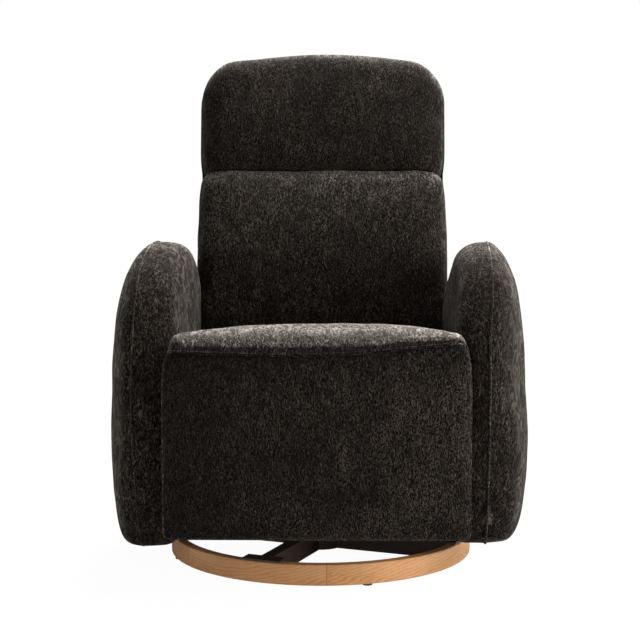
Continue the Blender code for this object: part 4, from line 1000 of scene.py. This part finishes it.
class GLIDER_OT_seat(bpy.types.Operator):
    """Make the T-shaped seat top, the foam block under it and the front seam"""

    bl_idname = "glider.seat"
    bl_label = "Cover the seat"

    def execute(self, context):
        cover = context.scene.glider_cover
        material = chenille("cover_seat")
        length = SEAT_TOP_LENGTH / math.cos(SEAT_PITCH)
        shape = [(0.262, 0, 0.032), (0.262, 0.078, 0.008), (0.2475, 0.086, 0.008), (0.2475, length, 0.030)]
        middle = (0, length / 2)
        face = Face(fillet_polygon(mirrored(shape)), middle, rings=32)
        share = np.abs(face.flat - np.array(middle)) / np.array((0.266, length / 2))
        dome = (1 - np.minimum(1, share[:, 0]) ** 3.0) * (1 - share[:, 1] ** 3)
        front = face.measure(lambda a, b: abs(a) < SEAT_EDGE_HALF)
        sides = face.measure(lambda a, b: abs(a) >= SEAT_EDGE_HALF)
        front_edge = rounded_edge(front, 0.050, SEAT_TOP_DEPTH, 2.0)
        edge = np.minimum(front_edge, rounded_edge(sides, 0.022, SEAT_TOP_DEPTH, 2.1))
        low = edge / SEAT_TOP_DEPTH
        rise = edge + (0.0135 + 0.010 * face.flat[:, 0]) * dome
        flat = face.flat.copy()
        flat[:, 1] -= 0.028 * low * (1 - low) * np.exp(-flat[:, 1] / 0.05)
        points = lay_on_seat(flat, rise)
        foot = np.clip(1 - low, 0, 1) * np.exp(-face.flat[:, 1] / 0.03)
        points[:, 2] += foot * seam_lift(points[:, 0], cover)
        points = narrowed(points, cover)
        top = piece_from("seat_top", points, face.quads() + [tuple(face.border())], material)
        loop = face.flat[face.border()]
        path = lay_on_seat(loop, np.zeros(len(loop)))
        path[:, 2] += np.exp(-loop[:, 1] / 0.03) * seam_lift(path[:, 0], cover)
        path = narrowed(path, cover)
        upward = np.array(SEAT_UPWARD)
        swell(top, lambda spots: (spots - np.array(SEAT_SEAM)) @ upward < 0.004, cap=0.005, share=0.20)
        pucker(top, path, cover.pucker, spacing=0.013, reach=0.016, seed=31.0)
        soften(top, cover.lump, scale=0.12, seed=33.0)
        low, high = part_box("seat_cushion")
        block_shape = mirrored([(high.x, low.y, 0.025), (high.x, high.y, 0.025)])
        outline = fillet_polygon(block_shape, 6)
        points = []
        count = len(outline)
        for level in range(BLOCK_LEVELS):
            height = level / (BLOCK_LEVELS - 1)
            draw = 0.006 * math.sin(math.pi * height)
            for a, b in outline:
                b = b + (draw if b < 0 else -draw)
                bottom = BLOCK_LOW_FRONT - BLOCK_FALL * (b - BLOCK_FRONT_Y) / BLOCK_LENGTH
                top_z = SEAT_SEAM.z - math.tan(SEAT_PITCH) * (b - SEAT_SEAM.y) - 0.0006
                points.append((a * (1 - draw / high.x), b, bottom + (top_z - bottom) * height))
        faces = net(BLOCK_LEVELS, count, closed=True)
        faces += [tuple(range(count)), tuple(range(len(points) - count, len(points)))]
        block = piece_from("seat_block", points, faces, material)
        dress(top, "seat", "seat_topper", fill=0.85)
        dress(block, "seat", "seat_cushion", fill=0.85)
        dress(cord("seat_seam", path, cover.seam_radius, material), "seat")
        return {"FINISHED"}


class GLIDER_OT_footrest(bpy.types.Operator):
    """Make the crowned front panel and its edge seam"""

    bl_idname = "glider.footrest"
    bl_label = "Cover the footrest"

    def execute(self, context):
        cover = context.scene.glider_cover
        material = chenille("cover_footrest")
        low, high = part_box("footrest_pad")
        half = high.x
        shape = mirrored([(half, low.z, 0.010), (half, high.z, 0.058, 0.013)])
        middle = (0, (low.z + high.z) / 2)
        face = Face(fillet_polygon(shape), middle, rings=30)
        spread = np.minimum(1, np.abs(face.flat - np.array(middle)) / np.array((half, high.z - middle[1])))
        dome = (1 - spread[:, 0] ** 2.0) * (1 - spread[:, 1] ** 3.0)
        rise = PANEL_DEPTH * wall(face.distance, 0.76, 0.013) + 0.017 * dome

        def lay(flat, height):
            forward = np.clip(height / PANEL_DEPTH, 0, 1)
            slope = spread_up(flat) * (0.004 * forward + seam_lift(flat[:, 0], cover))
            points = placed((0, high.y, 0), (0, 0, 1), (0, -1, 0), flat, height)
            points[:, 2] += slope
            return narrowed(points, cover)

        def spread_up(flat):
            return np.clip((flat[:, 1] - middle[1]) / (high.z - middle[1]), 0, 1) ** 6

        pad = cushion_from("footrest_cushion", face, lay, rise, material)
        loop = face.flat[face.border()]
        path = lay(loop, np.full(len(loop), PANEL_DEPTH * 0.77))
        swell(pad, lambda spots: spots[:, 1] > high.y - PANEL_DEPTH * 0.78, cap=0.006, share=0.4)
        pucker(pad, path, cover.pucker * 0.7, spacing=0.014, reach=0.014, seed=41.0)
        soften(pad, cover.lump * 0.6, scale=0.14, seed=43.0)
        welt = cord("footrest_welt", path, cover.seam_radius, chenille("cover_piping"))
        dress(welt, "footrest")
        dress(pad, "footrest", "footrest_pad", fill=0.85)
        return {"FINISHED"}


class GLIDER_OT_rear(bpy.types.Operator):
    """Make the padded panel behind the seat and the cloth flap that hangs from the back into it"""

    bl_idname = "glider.rear"
    bl_label = "Cover the rear"

    def execute(self, context):
        cover = context.scene.glider_cover
        material = chenille("cover_rear")
        low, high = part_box("rear_skirt")
        middle = (0, (low.z + high.z) / 2)
        half = high.x - 0.001
        shape = mirrored([(half, low.z, 0.012), (half, high.z, 0.012)])
        face = Face(fillet_polygon(shape), middle, rings=22)
        dome = 1 - face.scale**2
        rise = (high.y - low.y) * wall(face.distance, 0.35, 0.012) + 0.008 * dome

        def lay(flat, height):
            return placed((0, low.y, 0), (0, 0, 1), (0, 1, 0), flat, height)

        panel = cushion_from("rear_panel", face, lay, rise, material)
        swell(panel, lambda spots: spots[:, 1] < low.y + 0.005, cap=0.006, share=0.4)
        soften(panel, cover.lump * 0.6, scale=0.12, seed=51.0)
        dress(panel, "seat", "rear_skirt", fill=0.6)
        below = Vector((0, low.y - 0.003, high.z - 0.018))
        across, down = 40, 12
        points = []
        for row in range(down + 1):
            share = row / down
            spot = FLAP_TOP.lerp(below, share)
            sag = 0.012 * math.sin(math.pi * share)
            for column in range(across + 1):
                turn = column / across
                fold = 0.0016 * math.sin(turn * 47) * math.sin(math.pi * share)
                side = 0.266 * (2 * turn - 1)
                tucked = max(0.0, abs(side) - FLAP_HALF_WIDTH) * 2.6
                side = math.copysign(min(abs(side), FLAP_HALF_WIDTH) + tucked * 0.04, side)
                points.append((side, spot.y + sag + fold - tucked, spot.z + sag * 0.6))
        flap = piece_from("rear_flap", points, net(down + 1, across + 1), material)
        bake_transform(flap)
        return {"FINISHED"}


class GLIDER_OT_ring(bpy.types.Operator):
    """Finish the floor ring, its glides and the steel cross inside it"""

    bl_idname = "glider.ring"
    bl_label = "Finish the base"

    def execute(self, context):
        paint_nodes(ring_timber(), "wood_ring")
        paint_nodes(painted_steel("cross_coat", (0.034, 0.018, 0.010), 0.55), "base_cross")
        glides = [f"floor_glide_{number}" for number in (1, 2, 3, 4)]
        paint_nodes(felt("glide_felt", (0.02, 0.018, 0.016)), *glides)
        return {"FINISHED"}


class GLIDER_OT_mechanism(bpy.types.Operator):
    """Finish the bearing, the plates, the links and the springs"""

    bl_idname = "glider.mechanism"
    bl_label = "Finish the mechanism"

    def execute(self, context):
        zinc = zinc_steel()
        black = painted_steel("frame_coat", (0.018, 0.018, 0.019), 0.42)
        bare = ["lower_race", "upper_race", "king_bolt", "seat_spring_1", "seat_spring_2", "seat_spring_3"]
        coated = ["swivel_plate", "cross_channel_front", "cross_channel_rear", "footrest_torque_tube"]
        links = ["glide_link_front", "glide_link_rear", "footrest_bracket"]
        links += [f"footrest_{name}_link" for name in ("drive", "control", "front", "steering")]
        for _, label in SIDES:
            bare += [f"{name}_{label}" for name in links]
            coated += [f"{name}_{label}" for name in ("side_plate", "stanchion", "back_hinge")]
        paint_nodes(zinc, *bare)
        paint_nodes(black, *coated)
        return {"FINISHED"}


class GLIDER_OT_timber(bpy.types.Operator):
    """Finish the seat rails, the arm panels and the back frame"""

    bl_idname = "glider.timber"
    bl_label = "Finish the inner frame"

    def execute(self, context):
        across = plywood("ply_across", (1, 0, 0))
        leaning = plywood("ply_leaning", BACK_FORWARD)
        for _, label in SIDES:
            paint_nodes(across, f"arm_panel_{label}")
            paint_nodes(leaning, f"back_stile_{label}")
        wrapped = [f"seat_rail_{place}" for place in ("front", "left", "right", "rear")]
        wrapped += ["footrest_board", "back_rail_low"]
        paint_nodes(felt("dust_cloth", (0.012, 0.011, 0.010)), *wrapped)
        paint_nodes(leaning, "back_rail_middle", "back_rail_top")
        return {"FINISHED"}


# Stage


def lamp(name, place, aim, size, power):
    """Area lamp turned towards a height on the swivel axis."""
    data = bpy.data.lights.new(name, "AREA")
    data.shape = "RECTANGLE"
    data.size, data.size_y = size
    data.energy = power
    made = bpy.data.objects.new(name, data)
    made.location = place
    made.rotation_euler = (Vector((0, 0, aim)) - made.location).to_track_quat("-Z", "Y").to_euler()
    bpy.context.scene.collection.objects.link(made)


class GLIDER_OT_stage(bpy.types.Operator):
    """Set up the camera, the lamps, the pale floor and the white surroundings"""

    bl_idname = "glider.stage"
    bl_label = "Set the stage"

    def execute(self, context):
        scene = context.scene
        stage = scene.glider_stage
        scene.view_settings.view_transform = "Standard"
        data = bpy.data.cameras.new("studio_camera")
        data.lens = stage.lens
        data.sensor_width = 36
        camera = bpy.data.objects.new("studio_camera", data)
        away = stage.distance
        camera.location = (away * math.sin(stage.turn), -away * math.cos(stage.turn), stage.height)
        camera.rotation_euler = (math.pi / 2 - stage.tilt, 0, stage.turn + 0.0005)
        scene.collection.objects.link(camera)
        scene.camera = camera
        lamp("top", (0.5, 0.45, 2.9), 0.5, (1.6, 1.2), stage.top_power)
        lamp("side", (2.3, -1.3, 1.3), 0.4, (1.2, 1.6), stage.side_power)
        lamp("rear", (0.5, 3.0, 2.1), 0.5, (2.0, 1.4), stage.rear_power)
        lamp("fill", (-0.7, -3.6, 1.4), 0.4, (2.2, 1.8), stage.fill_power)
        lamp("low_right", (-1.9, -0.7, 0.25), 0.05, (0.9, 0.4), stage.low_power * 0.6)
        lamp("low_left", (1.9, -0.9, 0.35), 0.05, (0.9, 0.5), stage.low_power * 1.5)
        world = bpy.data.worlds.new("studio")
        world.use_nodes = True
        nodes, links = world.node_tree.nodes, world.node_tree.links
        plain = nodes["Background"]
        plain.inputs["Color"].default_value = (1, 1, 1, 1)
        plain.inputs["Strength"].default_value = 0.10
        seen = nodes.new("ShaderNodeBackground")
        seen.inputs["Color"].default_value = (1, 1, 1, 1)
        path = nodes.new("ShaderNodeLightPath")
        blend = nodes.new("ShaderNodeMixShader")
        links.new(path.outputs["Is Camera Ray"], blend.inputs[0])
        links.new(plain.outputs[0], blend.inputs[1])
        links.new(seen.outputs[0], blend.inputs[2])
        links.new(blend.outputs[0], nodes["World Output"].inputs["Surface"])
        scene.world = world
        self.floor()
        return {"FINISHED"}

    def floor(self):
        corners = [(x * FLOOR_HALF, y * FLOOR_HALF, 0) for x, y in ((-1, -1), (1, -1), (1, 1), (-1, 1))]
        made = Recipe("studio_floor")
        made.shader.inputs["Base Color"].default_value = (0.80, 0.80, 0.80, 1)
        made.shader.inputs["Roughness"].default_value = 0.9
        glow = made.node("Emission", Strength=1.03)
        path = made.node("LightPath")
        away = made.vector("LENGTH", made.object_place()).outputs[1]
        white = made.span(away, 0.7, 1.8, 0.94, 1.0, smooth=True)
        blend = made.node("MixShader", i0=made.times(path.outputs["Is Camera Ray"], white))
        made.plug(blend.inputs[1], made.shader)
        made.plug(blend.inputs[2], glow)
        made.plug(made.nodes["Material Output"].inputs["Surface"], blend)
        floor = piece_from("studio_floor", corners, [(0, 1, 2, 3)], made.material)


class GLIDER_PT_looks(bpy.types.Panel):
    """Steps and sizes of the glider's looks"""

    bl_label = "Nursery glider"
    bl_idname = "GLIDER_PT_looks"
    bl_space_type = "VIEW_3D"
    bl_region_type = "UI"
    bl_category = "Glider"

    def draw(self, context):
        for step in STEPS:
            self.layout.operator(step.bl_idname)
        for group in GROUPS:
            settings = getattr(context.scene, group)
            column = self.layout.column()
            for name in settings.bl_rna.properties.keys():
                if name not in {"rna_type", "name"}:
                    column.prop(settings, name)


GROUPS = {"glider_cover": GliderCover, "glider_wood": GliderWood, "glider_stage": GliderStage}
STEPS = (
    GLIDER_OT_stage, GLIDER_OT_ring, GLIDER_OT_mechanism, GLIDER_OT_timber, GLIDER_OT_arms,
    GLIDER_OT_back, GLIDER_OT_seat, GLIDER_OT_footrest, GLIDER_OT_rear,
)


def register():
    for item in (*GROUPS.values(), *STEPS, GLIDER_PT_looks):
        bpy.utils.register_class(item)
    for name, group in GROUPS.items():
        setattr(bpy.types.Scene, name, PointerProperty(type=group))


def unregister():
    for name in GROUPS:
        delattr(bpy.types.Scene, name)
    for item in reversed((*GROUPS.values(), *STEPS, GLIDER_PT_looks)):
        bpy.utils.unregister_class(item)


def main():
    register()
    for step in STEPS:
        group, name = step.bl_idname.split(".")
        getattr(getattr(bpy.ops, group), name)()


if __name__ == "__main__":
    main()
